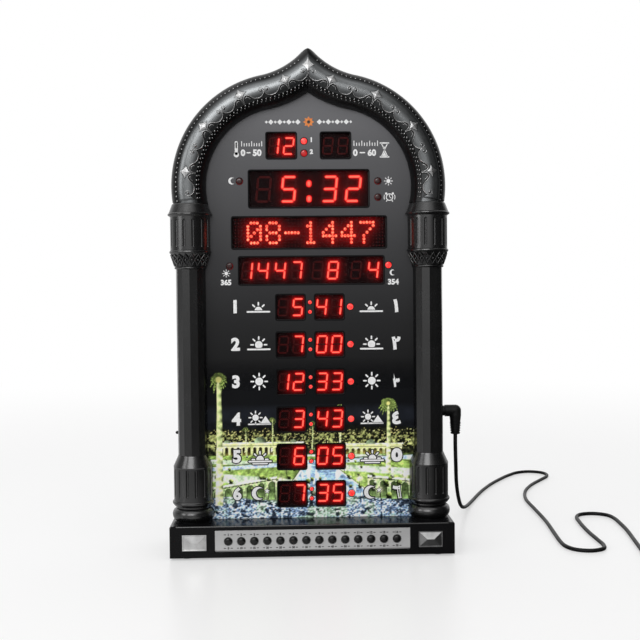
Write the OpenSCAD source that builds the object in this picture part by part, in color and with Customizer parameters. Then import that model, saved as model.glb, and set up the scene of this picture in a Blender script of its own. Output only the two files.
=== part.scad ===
// Digital table clock in the shape of an arch on two columns: a plinth with a row of keys, a printed
// panel with red number windows between the columns, a rear housing and a low-voltage lead.
// Millimetres. X is to the right, Y goes back from the front, Z is up. The origin is on the surface
// that the feet stand on, at the middle of the clock's width and depth.

/* [Plinth] */
// Width of the plinth
plinth_w = 219; // [200:1:240]
// Depth of the plinth
plinth_d = 68; // [62:1:90]
// Height of the plinth without its feet
plinth_h = 24.3; // [24.3:0.1:36]
// Wall of the plinth shell
plinth_wall = 2.5; // [2:0.1:3.5]
// Bevel round the plinth's top and corners
plinth_bevel = 1; // [0.6:0.1:1.6]
// Thickness of the bottom cover
cover_t = 2.5; // [2.2:0.1:3.5]
// Height of the rubber feet
foot_h = 1.5; // [1:0.1:4]
// Radius of the rubber feet
foot_r = 6; // [4:0.5:8]

/* [Keys] */
// Distance between the silver key strip and an inlay
strip_gap = 6.55; // [4:0.05:12]
// Distance from the strip's end to the middle of the first key
key_margin = 10.1; // [8:0.1:14]
// Height of the key strip, lower bevel included
strip_h = 16.5; // [14:0.5:18]
// Thickness of the key strip
strip_t = 1.6; // [1.2:0.1:2.4]
// Height of the strip's sloping lower edge
strip_bevel = 1.3; // [0.8:0.1:2]
// How far the strip stands out of the plinth
strip_proud = 0.4; // [0.2:0.1:1]
// Radius of a key cap
key_r = 2.75; // [2:0.05:3.2]
// How far a key cap stands out of the plinth
key_proud = 1.2; // [0.9:0.1:2.5]
// Travel of a key
key_travel = 0.5; // [0.2:0.1:0.8]
// Radial clearance of a cap in its hole
key_gap = 0.2; // [0.1:0.05:0.4]

/* [Inlays] */
// Width of a chrome inlay
inlay_w = 18.6; // [14:0.2:22]
// Height of a chrome inlay
inlay_h = 12.4; // [9:0.2:15]
// Distance from an inlay to the plinth's end
inlay_margin = 9.6; // [6:0.2:11]
// Width of an inlay's rim
inlay_rim = 1.1; // [0.6:0.1:2]

/* [Columns] */
// Radius of the ring under the column
torus_r = 16.5; // [15.5:0.1:18]
// Distance from the column foot to the plinth's end
column_inset = 0.2; // [0:0.1:2]
// Height of the column base
base_h = 51.5; // [46:0.5:60]
// Radius across the corners of the column shaft
shaft_r = 11.5; // [10.5:0.1:12.5]
// Height of the column shaft
shaft_h = 145; // [120:1:190]
// Height of the capital
capital_h = 50.6; // [44:0.2:60]
// Radius of the fluted drums
drum_r = 15.5; // [14.5:0.1:16.3]
// Radius of the ring over the capital's drum
ring_r = 17.4; // [16.6:0.1:18]
// Wall of the column mouldings
column_wall = 2.2; // [1.8:0.1:3]
// Half the width of a flute
flute_r = 1.1; // [0.8:0.1:1.6]

/* [Arch] */
// Radius of the arch moulding's half-round section
frame_r = 13.2; // [12:0.1:14]
// Radius of the moulding's centre line round the shoulder
bow_r = 74.3; // [66:0.1:82]
// How far the shoulder's widest point lies outside the column
bow_out = 0.4; // [0:0.1:2]
// Height of the shoulder's centre over the capital
bow_rise = 13.3; // [10:0.1:20]
// Angle at which the shoulder turns into the hollow sweep
bow_turn = 78.3; // [74:0.1:81]
// Radius of the moulding's centre line along the hollow sweep
sweep_r = 75; // [70:0.5:80]
// Rounding of the arch's tip
tip_r = 6; // [3:0.5:8]
// Wall of the arch moulding
frame_wall = 2.2; // [1.6:0.1:3]

/* [Housing] */
// Distance from the plinth's front to the panel's front
panel_setback = 24.4; // [23:0.1:28]
// Depth of the housing behind the panel's front
housing_d = 30.5; // [30:0.5:36]
// Wall of the housing
housing_wall = 2.5; // [2:0.1:3.5]
// Thickness of the ledge behind the panel
ledge_t = 1.5; // [1.2:0.1:2]
// How far the housing's side lies outside the column's axis
housing_out = 9.4; // [9.2:0.1:10.4]
// Thickness of the back cover
back_t = 2.5; // [2:0.1:3.5]
// Distance between the wall-hanging holes
hang_pitch = 100; // [60:5:110]
// Height of the wall-hanging holes over the capital's foot
hang_rise = 78; // [30:1:80]
// Radius of the wall-hanging holes
hang_r = 4.2; // [3.5:0.1:5]
// Radius of the slot over each hanging hole
hang_slot_r = 2.1; // [1.5:0.1:2.6]

/* [Panel] */
// Thickness of the front panel
panel_t = 2; // [1.5:0.1:3]
// How far the panel runs under the mouldings
panel_lap = 3.9; // [3.2:0.1:5]
// Clearance round the panel
panel_gap = 0.15; // [0.1:0.05:0.4]
// Corner radius of the windows
window_corner = 1.6; // [1:0.1:2.4]
// Thickness of the red filter
filter_t = 0.5; // [0.3:0.1:0.8]

/* [Windows] */
// Width of a two-digit window in the small-digit rows
row_w = 23.4; // [22:0.1:24.5]
// Height of a two-digit window in the small-digit rows
row_h = 20.45; // [19:0.05:22]
// Distance from the middle line to the middle of a row's window
row_x = 15.23; // [15:0.01:17]
// Distance between rows
row_pitch = 29.47; // [27:0.01:29.6]
// Height of the lowest row's middle over the plinth
row_low = 18.85; // [14:0.05:20]
// Width of the top windows
top_w = 24; // [22:0.1:26]
// Height of the top windows
top_h = 20.9; // [19:0.1:22]
// Distance from the middle line to the middle of a top window
top_x = 21.2; // [20:0.1:24]
// Width of the clock window
clock_w = 94.4; // [90:0.1:98]
// Height of the clock window
clock_h = 29.6; // [28:0.1:31]
// Width of the dot-matrix window
matrix_w = 121.5; // [120:0.1:124]
// Height of the dot-matrix window
matrix_h = 25.4; // [23:0.1:26]
// Width of the date window
date_w = 114.4; // [110:0.1:116]
// Height of the date window
date_h = 22.4; // [20:0.1:23]
// How far the date window lies to the right
date_x = 1.5; // [0:0.1:2]
// Height of the date window's middle over the plinth
date_z = 195; // [193:0.1:196]
// Height of the dot-matrix window's middle over the plinth
matrix_z = 224.6; // [223:0.1:226]
// Height of the clock window's middle over the plinth
clock_z = 258.7; // [257:0.1:260]
// Height of the top windows' middle over the plinth
top_z = 292.35; // [290:0.05:294]

/* [Electronics] */
// Depth of the number modules
module_d = 8; // [6.5:0.1:9]
// Clearance between filter and number modules
module_gap = 0.2; // [0.1:0.05:0.5]
// How far a module is larger than its window
module_over = 0.5; // [0.2:0.05:0.7]
// Thickness of the circuit boards
board_t = 1.6; // [1.2:0.1:2]
// Radius of the round indicator lights
light_r = 2.5; // [2:0.1:2.6]
// Radius of the small colon lights
colon_r = 1.5; // [1:0.1:1.8]
// Radial clearance of a light in its hole
light_gap = 0.1; // [0.05:0.05:0.3]
// Radius of the loudspeaker
speaker_r = 25; // [18:0.5:27]
// Radius of a screw's shank
screw_r = 1.2; // [1:0.1:1.4]
// Radius of a screw's head
head_r = 2.6; // [2.2:0.1:2.9]
// Height of a screw's head
head_h = 1.3; // [1:0.1:1.6]

/* [Power] */
// Height of the power socket over the plinth
jack_z = 81.2; // [70:0.1:95]
// Distance from the panel's front to the power socket's axis
jack_y = 17; // [15:0.5:20]
// Radius of the plug's moulded body
plug_r = 4.7; // [4.2:0.1:5.4]
// Diameter of the cord
cord_d = 3.2; // [2.8:0.1:3.4]
// Height of the wall adapter as it lies
adapter_h = 24; // [20:0.5:30]
// Width of the wall adapter as it lies
adapter_w = 30; // [26:0.5:40]
// Length of the wall adapter's body
adapter_l = 42; // [36:0.5:60]

/* [Hidden] */
$fn = 64;
eps = 0.01;
face = 0.01;          // overshoot of a cutter past the face it opens
key_count = 14;
row_count = 6;
flute_count = 14;
key_names = [for (i = [1 : key_count]) str("button_", i < 10 ? "0" : "", i)];

// Heights
plinth_top = foot_h + plinth_h;
shaft_foot = plinth_top + base_h;
capital_foot = shaft_foot + shaft_h;
arch_foot = capital_foot + capital_h;
cover_top = foot_h + cover_t;
key_z = foot_h + 12.6;
inlay_z = foot_h + 11.75;

// Depths: the origin is halfway between the key caps' fronts and the plinth's back
front_y = key_proud - (plinth_d + key_proud) / 2;
plinth_back = front_y + plinth_d;
face_y = front_y + panel_setback;
panel_back = face_y + panel_t;
ledge_back = panel_back + ledge_t;
filter_back = panel_back + filter_t;
module_front = filter_back + module_gap;
board_front = module_front + module_d;
board_back = board_front + board_t;
housing_back = face_y + housing_d;
cover_back = housing_back + back_t;

// Keys, from the front to the back
strip_front = front_y - strip_proud;
strip_back = strip_front + strip_t;
flange_gap = 0.15;
flange_t = 0.9;
flange_over = 0.8;
flange_front = strip_back + flange_gap;
stem_end = flange_front + flange_t + 1.6;
press_gap = 0.1;
plunger_l = 1;
switch_front = stem_end + key_travel + press_gap + plunger_l;
switch_d = 3.5;
key_board_front = switch_front + switch_d;
key_board_back = key_board_front + board_t;
strip_w = plinth_w - 2 * (inlay_margin + inlay_w + strip_gap);
key_pitch = (strip_w - 2 * key_margin) / (key_count - 1);
key_x0 = -(key_count - 1) / 2 * key_pitch;
key_slot_x = -key_x0 + key_r + flange_over + 0.3;
key_post_r = 2.2;
key_post_x = key_slot_x + key_post_r + 0.3;
key_board_w = 2 * (key_post_x + key_post_r + 0.3);

// Columns
column_x = plinth_w / 2 - torus_r - column_inset;
back_skin = 1.6;
inlay_x = plinth_w / 2 - inlay_margin - inlay_w / 2;

// Arch: a shoulder arc about bow_c, then a hollow sweep about sweep_c, mirrored at the middle
bow_c = [column_x + bow_out - bow_r, arch_foot + bow_rise];
sweep_c = bow_c + (bow_r + sweep_r) * [cos(bow_turn), sin(bow_turn)];
panel_in = panel_lap - frame_r;
housing_half = bow_c.x + bow_r + housing_out;
ledge_in = panel_in - 2.8;
board_in = -5;
board_foot = plinth_top + 6;
board_top = bow_c.y + 56;
post_x = bow_c.x + bow_r - 8.4;
boss_x = bow_c.x + bow_r + 1.8;
post_r = 2.9;
boss_r = 3.4;
board_post_z = [plinth_top + 18, plinth_top + 92, plinth_top + 166, plinth_top + 240];
boss_z = [plinth_top + 36, plinth_top + 130, plinth_top + 222];
boss_angle = 50;

// Windows and lights
row_z0 = plinth_top + row_low;
small_z = plinth_top + top_z;
clock_mid = plinth_top + clock_z;
matrix_mid = plinth_top + matrix_z;
date_mid = plinth_top + date_z;
colon_dz = 3.75;
row_light_x = row_x + row_w / 2 + light_r + 2.2;
clock_light_x = clock_w / 2 + light_r + 4.4;
date_light_x = date_w / 2 + light_r;
function row_z(i) = row_z0 + (row_count - 1 - i) * row_pitch;
light_places = concat(
    [for (i = [0 : row_count - 1]) [row_light_x, row_z(i)]],
    [[-3.5, small_z + 3.45], [-3.5, small_z - 5.95], [-clock_light_x, clock_mid + 6.1],
     [clock_light_x, clock_mid + 5.7], [clock_light_x, clock_mid - 6.9],
     [date_x - date_light_x - 4.2, date_mid + 3.7], [date_x + date_light_x + 0.8, date_mid + 3.7]]);
colon_places = [for (i = [0 : row_count - 1]) for (s = [-1, 1]) [0, row_z(i) + s * colon_dz]];

// Loudspeaker and vents on the back cover
speaker_z = plinth_top + 96;
cable_slot = [30, 5];
cable_y = face_y + 20;

// Power
jack_height = plinth_top + jack_z;
jack_mid_y = face_y + jack_y;
jack_bush_r = 3.9;
jack_bore_r = 2.85;
plug_sleeve_r = 2.7;
plug_sleeve_bore = 1.25;
jack_pin_r = 1;
plug_exit = [117, 8, 88];
cord_r = cord_d / 2;
cord_sides = 8;
rings_per_span = 2;
// The lead from the plug to the coil: down to the surface, then loose curves to the right
cord_route = [
    [117, 8, 88], [117, 8, 78], [118, 12, 62], [121, 27, 44], [127, 52, 26], [135, 84, 12],
    [145, 118, 4], [157, 152, 1.6], [173, 192, 1.6], [191, 230, 1.6], [211, 264, 1.6],
    [229, 287, 1.6], [243, 297, 1.6], [256, 294, 1.6], [262, 281, 1.6], [258, 266, 1.6],
    [245, 246, 1.6], [230, 222, 1.6], [218, 192, 1.6], [210, 156, 1.6], [208, 112, 1.6],
    [206, 66, 1.6], [201, 22, 1.6], [197, -8, 1.6], [200, -24, 1.6], [211, -34, 1.6],
    [224, -30, 1.6], [230, -16, 1.6], [230, 12, 1.6], [232, 48, 1.6], [239, 78, 1.6],
    [251, 91, 1.6], [264, 87, 1.6], [269, 70, 1.6], [266, 34, 1.6], [259, -8, 1.6],
    [252, -52, 1.6], [246, -94, 1.6], [244, -126, 1.6], [244, -136, 1.6]];
coil_loops = 4;
coil_mean_r = 18;
coil_pitch = 3.8;
coil_sides = 6;
coil_rings = 24;
coil_start = cord_route[len(cord_route) - 1];
coil_c = [coil_start.x + coil_mean_r + coil_pitch, coil_start.y - cord_d];
adapter_gap = 8;

echo(str("coil: least gap between turns ", coil_least_gap(), " mm"));

// ---------- shared shapes ----------

// A flat outline in X and Z, given as X and Y, made t deep from depth y backwards
module upright(y, t) {
    translate([0, y + t, 0]) rotate([90, 0, 0]) linear_extrude(t) children();
}

module rounded(w, h, r) {
    square([w - 2 * r, h], center = true);
    square([w, h - 2 * r], center = true);
    for (x = [-1, 1]) for (z = [-1, 1]) translate([x * (w / 2 - r), z * (h / 2 - r)]) circle(r, $fn = 24);
}

// A straight round rod along Y from depth y0 to y1
module rod_y(r, y0, y1, fn = 32) {
    translate([0, y1, 0]) rotate([90, 0, 0]) cylinder(r = r, h = y1 - y0, $fn = fn);
}

module block(lo, hi) {
    translate(lo) cube(hi - lo);
}

// The centre height of the tip's rounding, and where it meets the hollow sweep
function tip_peak(g, tip) = sweep_c.y - sqrt(pow(sweep_r - g + tip, 2) - pow(sweep_c.x, 2));
function tip_touch(g, tip) = sweep_c + (sweep_r - g) / (sweep_r - g + tip) * ([0, tip_peak(g, tip)] - sweep_c);

// The arch's outline, grown by g from the moulding's centre line, down to height foot
module arch_area(g, foot, tip = 0) {
    half = bow_c.x + bow_r + g;
    reach = sweep_r - g;
    peak = tip_peak(g, tip);
    turn = bow_c + (bow_r + g) * [cos(bow_turn), sin(bow_turn)];
    touch = tip_touch(g, tip);
    translate([-half, foot]) square([2 * half, bow_c.y - foot]);
    for (s = [-1, 1]) intersection() {
        translate([s * bow_c.x, bow_c.y]) circle(bow_r + g, $fn = 128);
        translate([-half, bow_c.y - eps]) square([2 * half, bow_r + g + 1]);
    }
    difference() {
        polygon([bow_c, turn, touch, [-touch.x, touch.y], [-turn.x, turn.y], [-bow_c.x, bow_c.y]]);
        for (s = [-1, 1]) translate([s * sweep_c.x, sweep_c.y]) circle(reach, $fn = 128);
    }
    if (tip > 0) translate([0, peak]) circle(tip, $fn = 48);
}

// Points p[i] = [radius, height] turned half round about a column's axis, front half only
module half_turn(p) {
    rotate([0, 0, 180]) rotate_extrude(angle = 180, $fn = 96) polygon(p);
}

// A hollow half-round moulding with a closed back
module half_shell(p) {
    low = p[0].y;
    high = p[len(p) - 1].y;
    inner = [for (q = p) [q.x - column_wall, max(low + column_wall, min(high - column_wall, q.y))]];
    difference() {
        half_turn(concat([[0, low]], p, [[0, high]]));
        intersection() {
            half_turn(concat([[0, inner[0].y]], inner, [[0, inner[len(inner) - 1].y]]));
            block([-30, -40, low - 1], [30, -back_skin, high + 1]);
        }
    }
}

// Round-ended grooves down a drum of radius r between heights z0 and z1
module flutes(r, z0, z1) {
    step = 360 / flute_count;
    for (k = [-2.5 : 2.5]) rotate([0, 0, k * step]) translate([0, -r - 0.1, 0]) {
        translate([0, 0, z0]) cylinder(r = flute_r, h = z1 - z0, $fn = 24);
        for (z = [z0, z1]) translate([0, 0, z]) sphere(flute_r, $fn = 24);
    }
}

// ---------- plinth ----------

module plinth_block(inset, low) {
    w = plinth_w / 2 - inset;
    y0 = front_y + inset;
    y1 = plinth_back - inset;
    top = plinth_top - inset;
    b = max(plinth_bevel - inset, 0.2);
    intersection() {
        translate([-w, 0, 0]) rotate([90, 0, 90]) linear_extrude(2 * w)
            polygon([[y0, low], [y1, low], [y1, top - b], [y1 - b, top], [y0 + b, top], [y0, top - b]]);
        upright(y0, y1 - y0)
            polygon([[-w, low], [w, low], [w, top - b], [w - b, top], [b - w, top], [-w, top - b]]);
        translate([0, 0, low]) linear_extrude(top - low)
            translate([0, (y0 + y1) / 2]) rounded(2 * w, y1 - y0, b);
    }
}

cover_post_x = plinth_w / 2 - 36;
cover_post_y = [plinth_back - 8, front_y + 19];

module plinth_shell() color([0.07, 0.07, 0.075]) {
    strip_low = key_z - strip_h / 2;
    difference() {
        union() {
            difference() {
                plinth_block(0, foot_h);
                plinth_block(plinth_wall, foot_h - 1);
                // recess and opening of the key strip
                block([-strip_w / 2 - 0.1, front_y - 1, strip_low - 0.1],
                      [strip_w / 2 + 0.1, strip_back, strip_low + strip_h + 0.1]);
                block([-key_slot_x, front_y, key_z - 5], [key_slot_x, front_y + 8, key_z + 5]);
                for (s = [-1, 1]) translate([s * inlay_x, 0, inlay_z])
                    block([-inlay_w / 2 - 0.1, front_y - 1, -inlay_h / 2 - 0.1],
                          [inlay_w / 2 + 0.1, front_y + 1.3, inlay_h / 2 + 0.1]);
                // way for the ribbon up into the housing
                translate([-cable_slot.x / 2, cable_y, plinth_top - 8]) cube([cable_slot.x, cable_slot.y, 9]);
            }
            for (s = [-1, 1]) {
                // posts for the key board
                translate([s * key_post_x, 0, key_z]) rod_y(key_post_r, front_y + plinth_wall - 0.5, key_board_front);
                // posts for the bottom cover
                for (y = cover_post_y) translate([s * cover_post_x, y, cover_top])
                    cylinder(r = 3.6, h = plinth_top - plinth_wall - cover_top + 0.5);
            }
        }
        for (s = [-1, 1]) {
            translate([s * key_post_x, 0, key_z]) rod_y(screw_r, key_board_front - 5, key_board_front + 1);
            for (y = cover_post_y) translate([s * cover_post_x, y, cover_top - 1])
                cylinder(r = screw_r, h = 9, $fn = 32);
        }
    }
}

cover_gap = 0.2;

module plinth_cover() color([0.09, 0.09, 0.095]) difference() {
    block([-plinth_w / 2 + plinth_wall + cover_gap, front_y + plinth_wall + cover_gap, foot_h],
          [plinth_w / 2 - plinth_wall - cover_gap, plinth_back - plinth_wall - cover_gap, cover_top]);
    for (s = [-1, 1]) for (y = cover_post_y) translate([s * cover_post_x, y, 0]) {
        cylinder(r = screw_r + 0.3, h = cover_top + 1, $fn = 32);
        cylinder(r = head_r + 0.4, h = foot_h + head_h, $fn = 32);
    }
}

module pan_screw(length) {
    cylinder(r = head_r, h = head_h - 0.1, $fn = 32);
    cylinder(r = screw_r - 0.05, h = length, $fn = 32);
}

module plinth_screws() color([0.55, 0.55, 0.57])
    for (s = [-1, 1]) for (y = cover_post_y) translate([s * cover_post_x, y, foot_h + 0.1]) pan_screw(9);

module rubber_feet() color([0.05, 0.05, 0.05])
    for (x = [-1, 1]) for (y = [-1, 1])
        translate([x * (plinth_w / 2 - plinth_wall - cover_gap - foot_r - 4),
                   (front_y + plinth_back) / 2 + y * (plinth_d / 2 - plinth_wall - cover_gap - foot_r - 2), 0])
            cylinder(r = foot_r, h = foot_h);

module button_strip() color([0.72, 0.73, 0.72]) difference() {
    low = key_z - strip_h / 2;
    translate([-strip_w / 2, 0, 0]) rotate([90, 0, 90]) linear_extrude(strip_w)
        polygon([[strip_back, low], [strip_back, low + strip_h], [strip_front, low + strip_h],
                 [strip_front, low + strip_bevel], [strip_back - 0.5, low]]);
    for (i = [0 : key_count - 1]) translate([key_x0 + i * key_pitch, 0, key_z])
        rod_y(key_r + key_gap, strip_front - 1, strip_back + 1, 40);
}

module inlay() {
    w = inlay_w / 2;
    h = inlay_h / 2;
    difference() {
        block([-w, front_y - 0.3, -h], [w, front_y + 1.3, h]);
        block([inlay_rim - w, front_y - 1, inlay_rim - h], [w - inlay_rim, front_y + 0.7, h - inlay_rim]);
    }
    translate([0, front_y + 0.7, 0]) rotate([90, 0, 0]) {
        a = w - inlay_rim;
        c = h - inlay_rim;
        polyhedron(points = [[-a, -c, -0.2], [a, -c, -0.2], [a, c, -0.2], [-a, c, -0.2], [0, 0, 0.9],
                             [-a, -c, 0], [a, -c, 0], [a, c, 0], [-a, c, 0]],
                   faces = [[0, 1, 2, 3], [5, 4, 6], [6, 4, 7], [7, 4, 8], [8, 4, 5],
                            [0, 5, 6, 1], [1, 6, 7, 2], [2, 7, 8, 3], [3, 8, 5, 0]]);
    }
}

module inlay_left() color([0.8, 0.8, 0.8]) translate([-inlay_x, 0, inlay_z]) inlay();

module inlay_right() color([0.8, 0.8, 0.8]) translate([inlay_x, 0, inlay_z]) inlay();

// ---------- keys ----------

key_board_h = 15;

module key_board() color([0.1, 0.3, 0.16]) difference() {
    block([-key_board_w / 2, key_board_front, key_z - key_board_h / 2],
          [key_board_w / 2, key_board_back, key_z + key_board_h / 2]);
    for (s = [-1, 1]) translate([s * key_post_x, 0, key_z]) rod_y(screw_r + 0.2, key_board_front - 1, key_board_back + 1);
}

module key_switches() color([0.2, 0.2, 0.22])
    for (i = [0 : key_count - 1]) translate([key_x0 + i * key_pitch, 0, key_z]) {
        block([-3, switch_front, -3], [3, key_board_front, 3]);
        rod_y(1.7, switch_front - plunger_l, switch_front + 0.5, 24);
    }

module key_cap(i) color([0.05, 0.05, 0.055]) {
    tip = front_y - key_proud;
    translate([key_x0 + (i - 1) * key_pitch, tip, key_z]) rotate([-90, 0, 0])
        rotate_extrude($fn = 48) polygon(concat(
            [[0, 0]],
            [for (a = [20 : 20 : 80]) [key_r * sin(a), 0.9 * (1 - cos(a))]],
            [[key_r, 0.9], [key_r, flange_front - tip], [key_r + flange_over, flange_front - tip],
             [key_r + flange_over, flange_front - tip + flange_t], [1.6, flange_front - tip + flange_t],
             [1.6, stem_end - tip], [0, stem_end - tip]]));
}

header_y = key_board_back;
header_size = [16, 4, 5];

module ribbon_headers() color([0.85, 0.83, 0.76]) {
    block([-header_size.x / 2, header_y, key_z - header_size.z / 2],
          [header_size.x / 2, header_y + header_size.y, key_z + header_size.z / 2]);
    block([-header_size.x / 2, board_back, board_foot + 4],
          [header_size.x / 2, board_back + header_size.y, board_foot + 4 + header_size.z]);
}

// The flat cable: back from the key board, up through the slots, forward to the display board
module ribbon_cable() color([0.7, 0.7, 0.72]) {
    t = 0.9;
    y0 = header_y + header_size.y;
    y1 = cable_y + cable_slot.y / 2;
    z1 = board_foot + 4 + header_size.z / 2;
    y2 = board_back + header_size.y;
    translate([-6, 0, 0]) rotate([90, 0, 90]) linear_extrude(12) polygon([
        [y0, key_z - t / 2], [y1 - 3, key_z - t / 2], [y1 + t / 2, key_z + 3], [y1 + t / 2, z1 - 1.5],
        [y1 - 1.5, z1 + t / 2], [y2, z1 + t / 2], [y2, z1 - t / 2], [y1 - 2, z1 - t / 2],
        [y1 - t / 2, z1 - 2], [y1 - t / 2, key_z + 3.5], [y1 - 3.5, key_z + t / 2], [y0, key_z + t / 2]]);
}

// ---------- columns ----------

// Heights run from the column's foot on the plinth
module column_base(side) color([0.13, 0.13, 0.135]) translate([side * column_x, face_y, plinth_top]) {
    h = base_h;
    drum_low = 17;
    drum_high = h - 9.6;
    difference() {
        half_shell(concat(
            [[torus_r - 2.6, 0]],
            [for (a = [-60 : 15 : 75]) [torus_r - 4.6 + 4.6 * cos(a), 5.3 + 5.3 * sin(a)]],
            [[torus_r - 2.9, 10.7], [torus_r - 2.9, 11.6], [torus_r - 1.6, 12.1]],
            [for (a = [-60 : 30 : 90]) [drum_r - 0.3 + 1.2 * cos(a), 14.7 + 1.5 * sin(a)]],
            [[drum_r - 0.3, drum_high], [drum_r - 0.1, drum_high + 0.9],
             [shaft_r + 0.3, h - 0.8], [shaft_r, h]]));
        flutes(drum_r - 0.3, drum_low + 3.4, drum_high - 1.9);
    }
}

module column_base_left() column_base(-1);

module column_base_right() column_base(1);

module column_shaft(side) color([0.12, 0.12, 0.125])
    translate([side * column_x, face_y, shaft_foot]) difference() {
        intersection() {
            cylinder(r = shaft_r, h = shaft_h, $fn = 12);
            block([-20, -20, -1], [20, 0, shaft_h + 1]);
        }
        intersection() {
            translate([0, 0, column_wall]) cylinder(r = shaft_r - column_wall, h = shaft_h - 2 * column_wall, $fn = 12);
            block([-20, -20, -1], [20, -back_skin, shaft_h + 1]);
        }
    }

module column_shaft_left() column_shaft(-1);

module column_shaft_right() column_shaft(1);

module capital(side) color([0.13, 0.13, 0.135]) translate([side * column_x, face_y, capital_foot]) {
    h = capital_h;
    collar_top = 11.9;
    drum_low = 14.7;
    drum_high = h - 10.1;
    difference() {
        half_shell(concat(
            [for (a = [-90 : 30 : 60]) [shaft_r - 0.4 + 1.5 * cos(a), 1.1 + 1.1 * sin(a)]],
            [[shaft_r + 0.7, 2.1], [drum_r - 2, collar_top - 2.4], [drum_r - 0.1, collar_top]],
            [for (a = [-60 : 30 : 90]) [drum_r - 0.2 + 1.1 * cos(a), 13.4 + 1.2 * sin(a)]],
            [[drum_r, drum_low], [drum_r, drum_high], [ring_r - 1, drum_high + 0.9]],
            [for (a = [-60 : 30 : 60]) [ring_r - 1.1 + 1.1 * cos(a), drum_high + 1.9 + 1.1 * sin(a)]],
            [[ring_r - 0.9, drum_high + 3.1], [frame_r + 0.9, h - 0.6], [frame_r + 0.5, h]]));
        flutes(drum_r, drum_low + 3.2, drum_high - 3);
    }
}

module capital_left() capital(-1);

module capital_right() capital(1);

// ---------- arch ----------

module frame_section(r) {
    intersection() {
        circle(r, $fn = 96);
        translate([-r - 1, 0]) square([2 * r + 2, r + 1]);
    }
}

module frame_arc(centre, r, from, to) {
    translate([centre.x, face_y, centre.y]) rotate([90, 0, 0]) rotate([0, 0, from])
        rotate_extrude(angle = to - from, $fn = 180) translate([r, 0]) difference() {
            frame_section(frame_r);
            intersection() {
                circle(frame_r - frame_wall, $fn = 96);
                translate([-frame_r, back_skin]) square([2 * frame_r, frame_r]);
            }
        }
}

// A web across the moulding where the shoulder turns into the sweep
module frame_web() {
    translate([bow_c.x, face_y, bow_c.y]) rotate([90, 0, 0]) rotate([0, 0, bow_turn]) translate([bow_r, 0, 0])
        intersection() {
            rotate([90, 0, 0]) cylinder(r = frame_r - frame_wall / 2, h = back_skin, center = true);
            block([-frame_r, -5, back_skin / 2], [frame_r, 5, frame_r]);
        }
}

module arch_frame() color([0.14, 0.14, 0.145]) {
    foot_turn = -asin((bow_rise + 3) / (bow_r - frame_r));
    tip_turn = 172 + acos(sweep_c.x / (sweep_r - frame_r));
    touch = tip_touch(frame_r, tip_r);
    difference() {
        for (s = [0, 1]) mirror([s, 0, 0]) intersection() {
            union() {
                frame_arc(bow_c, bow_r, foot_turn, bow_turn);
                frame_arc(sweep_c, sweep_r, tip_turn, 180 + bow_turn);
                frame_web();
            }
            block([0, face_y - 30, arch_foot], [200, face_y + 1, arch_foot + 150]);
        }
        upright(face_y - 30, 32) difference() {
            translate([-2 * touch.x, touch.y]) square([4 * touch.x, frame_r + tip_r]);
            translate([0, tip_peak(frame_r, tip_r) - 0.1]) circle(tip_r, $fn = 96);
        }
    }
}

// ---------- housing ----------

module boss_points() {
    for (s = [-1, 1]) {
        for (z = boss_z) translate([s * boss_x, 0, z]) children();
        translate([s * (bow_c.x + (bow_r + 1.8) * cos(boss_angle)), 0, bow_c.y + (bow_r + 1.8) * sin(boss_angle)])
            children();
    }
}

module post_points() {
    for (s = [-1, 1]) for (z = board_post_z) translate([s * post_x, 0, z]) children();
}

module hang_points() {
    for (s = [-1, 1]) translate([s * hang_pitch / 2, 0, capital_foot + hang_rise]) children();
}

probe_z = plinth_top + 67;
probe_y = face_y + 13;

module housing() color([0.1, 0.1, 0.105]) difference() {
    union() {
        difference() {
            upright(face_y, housing_d) arch_area(housing_out, plinth_top);
            upright(ledge_back, housing_d) arch_area(housing_out - housing_wall, plinth_top + housing_wall);
            upright(face_y - 1, panel_t + 1) arch_area(panel_in + panel_gap, plinth_top + 0.4);
            upright(face_y, panel_t + ledge_t + 1) arch_area(ledge_in, plinth_top + 3.2);
        }
        post_points() rod_y(post_r, ledge_back - 0.5, board_front);
        boss_points() rod_y(boss_r, ledge_back - 0.5, housing_back);
    }
    post_points() rod_y(screw_r, ledge_back + 1, board_front + 1);
    boss_points() rod_y(screw_r, housing_back - 9, housing_back + 1);
    translate([housing_half - housing_wall - 1, jack_mid_y, jack_height]) rotate([0, 90, 0])
        cylinder(r = jack_bush_r + 0.1, h = housing_wall + 2);
    translate([-housing_half - 1, probe_y, probe_z]) rotate([0, 90, 0]) cylinder(r = 2.1, h = housing_wall + 2, $fn = 32);
    translate([-cable_slot.x / 2, cable_y, plinth_top - 1]) cube([cable_slot.x, cable_slot.y, housing_wall + 3]);
}

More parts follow.
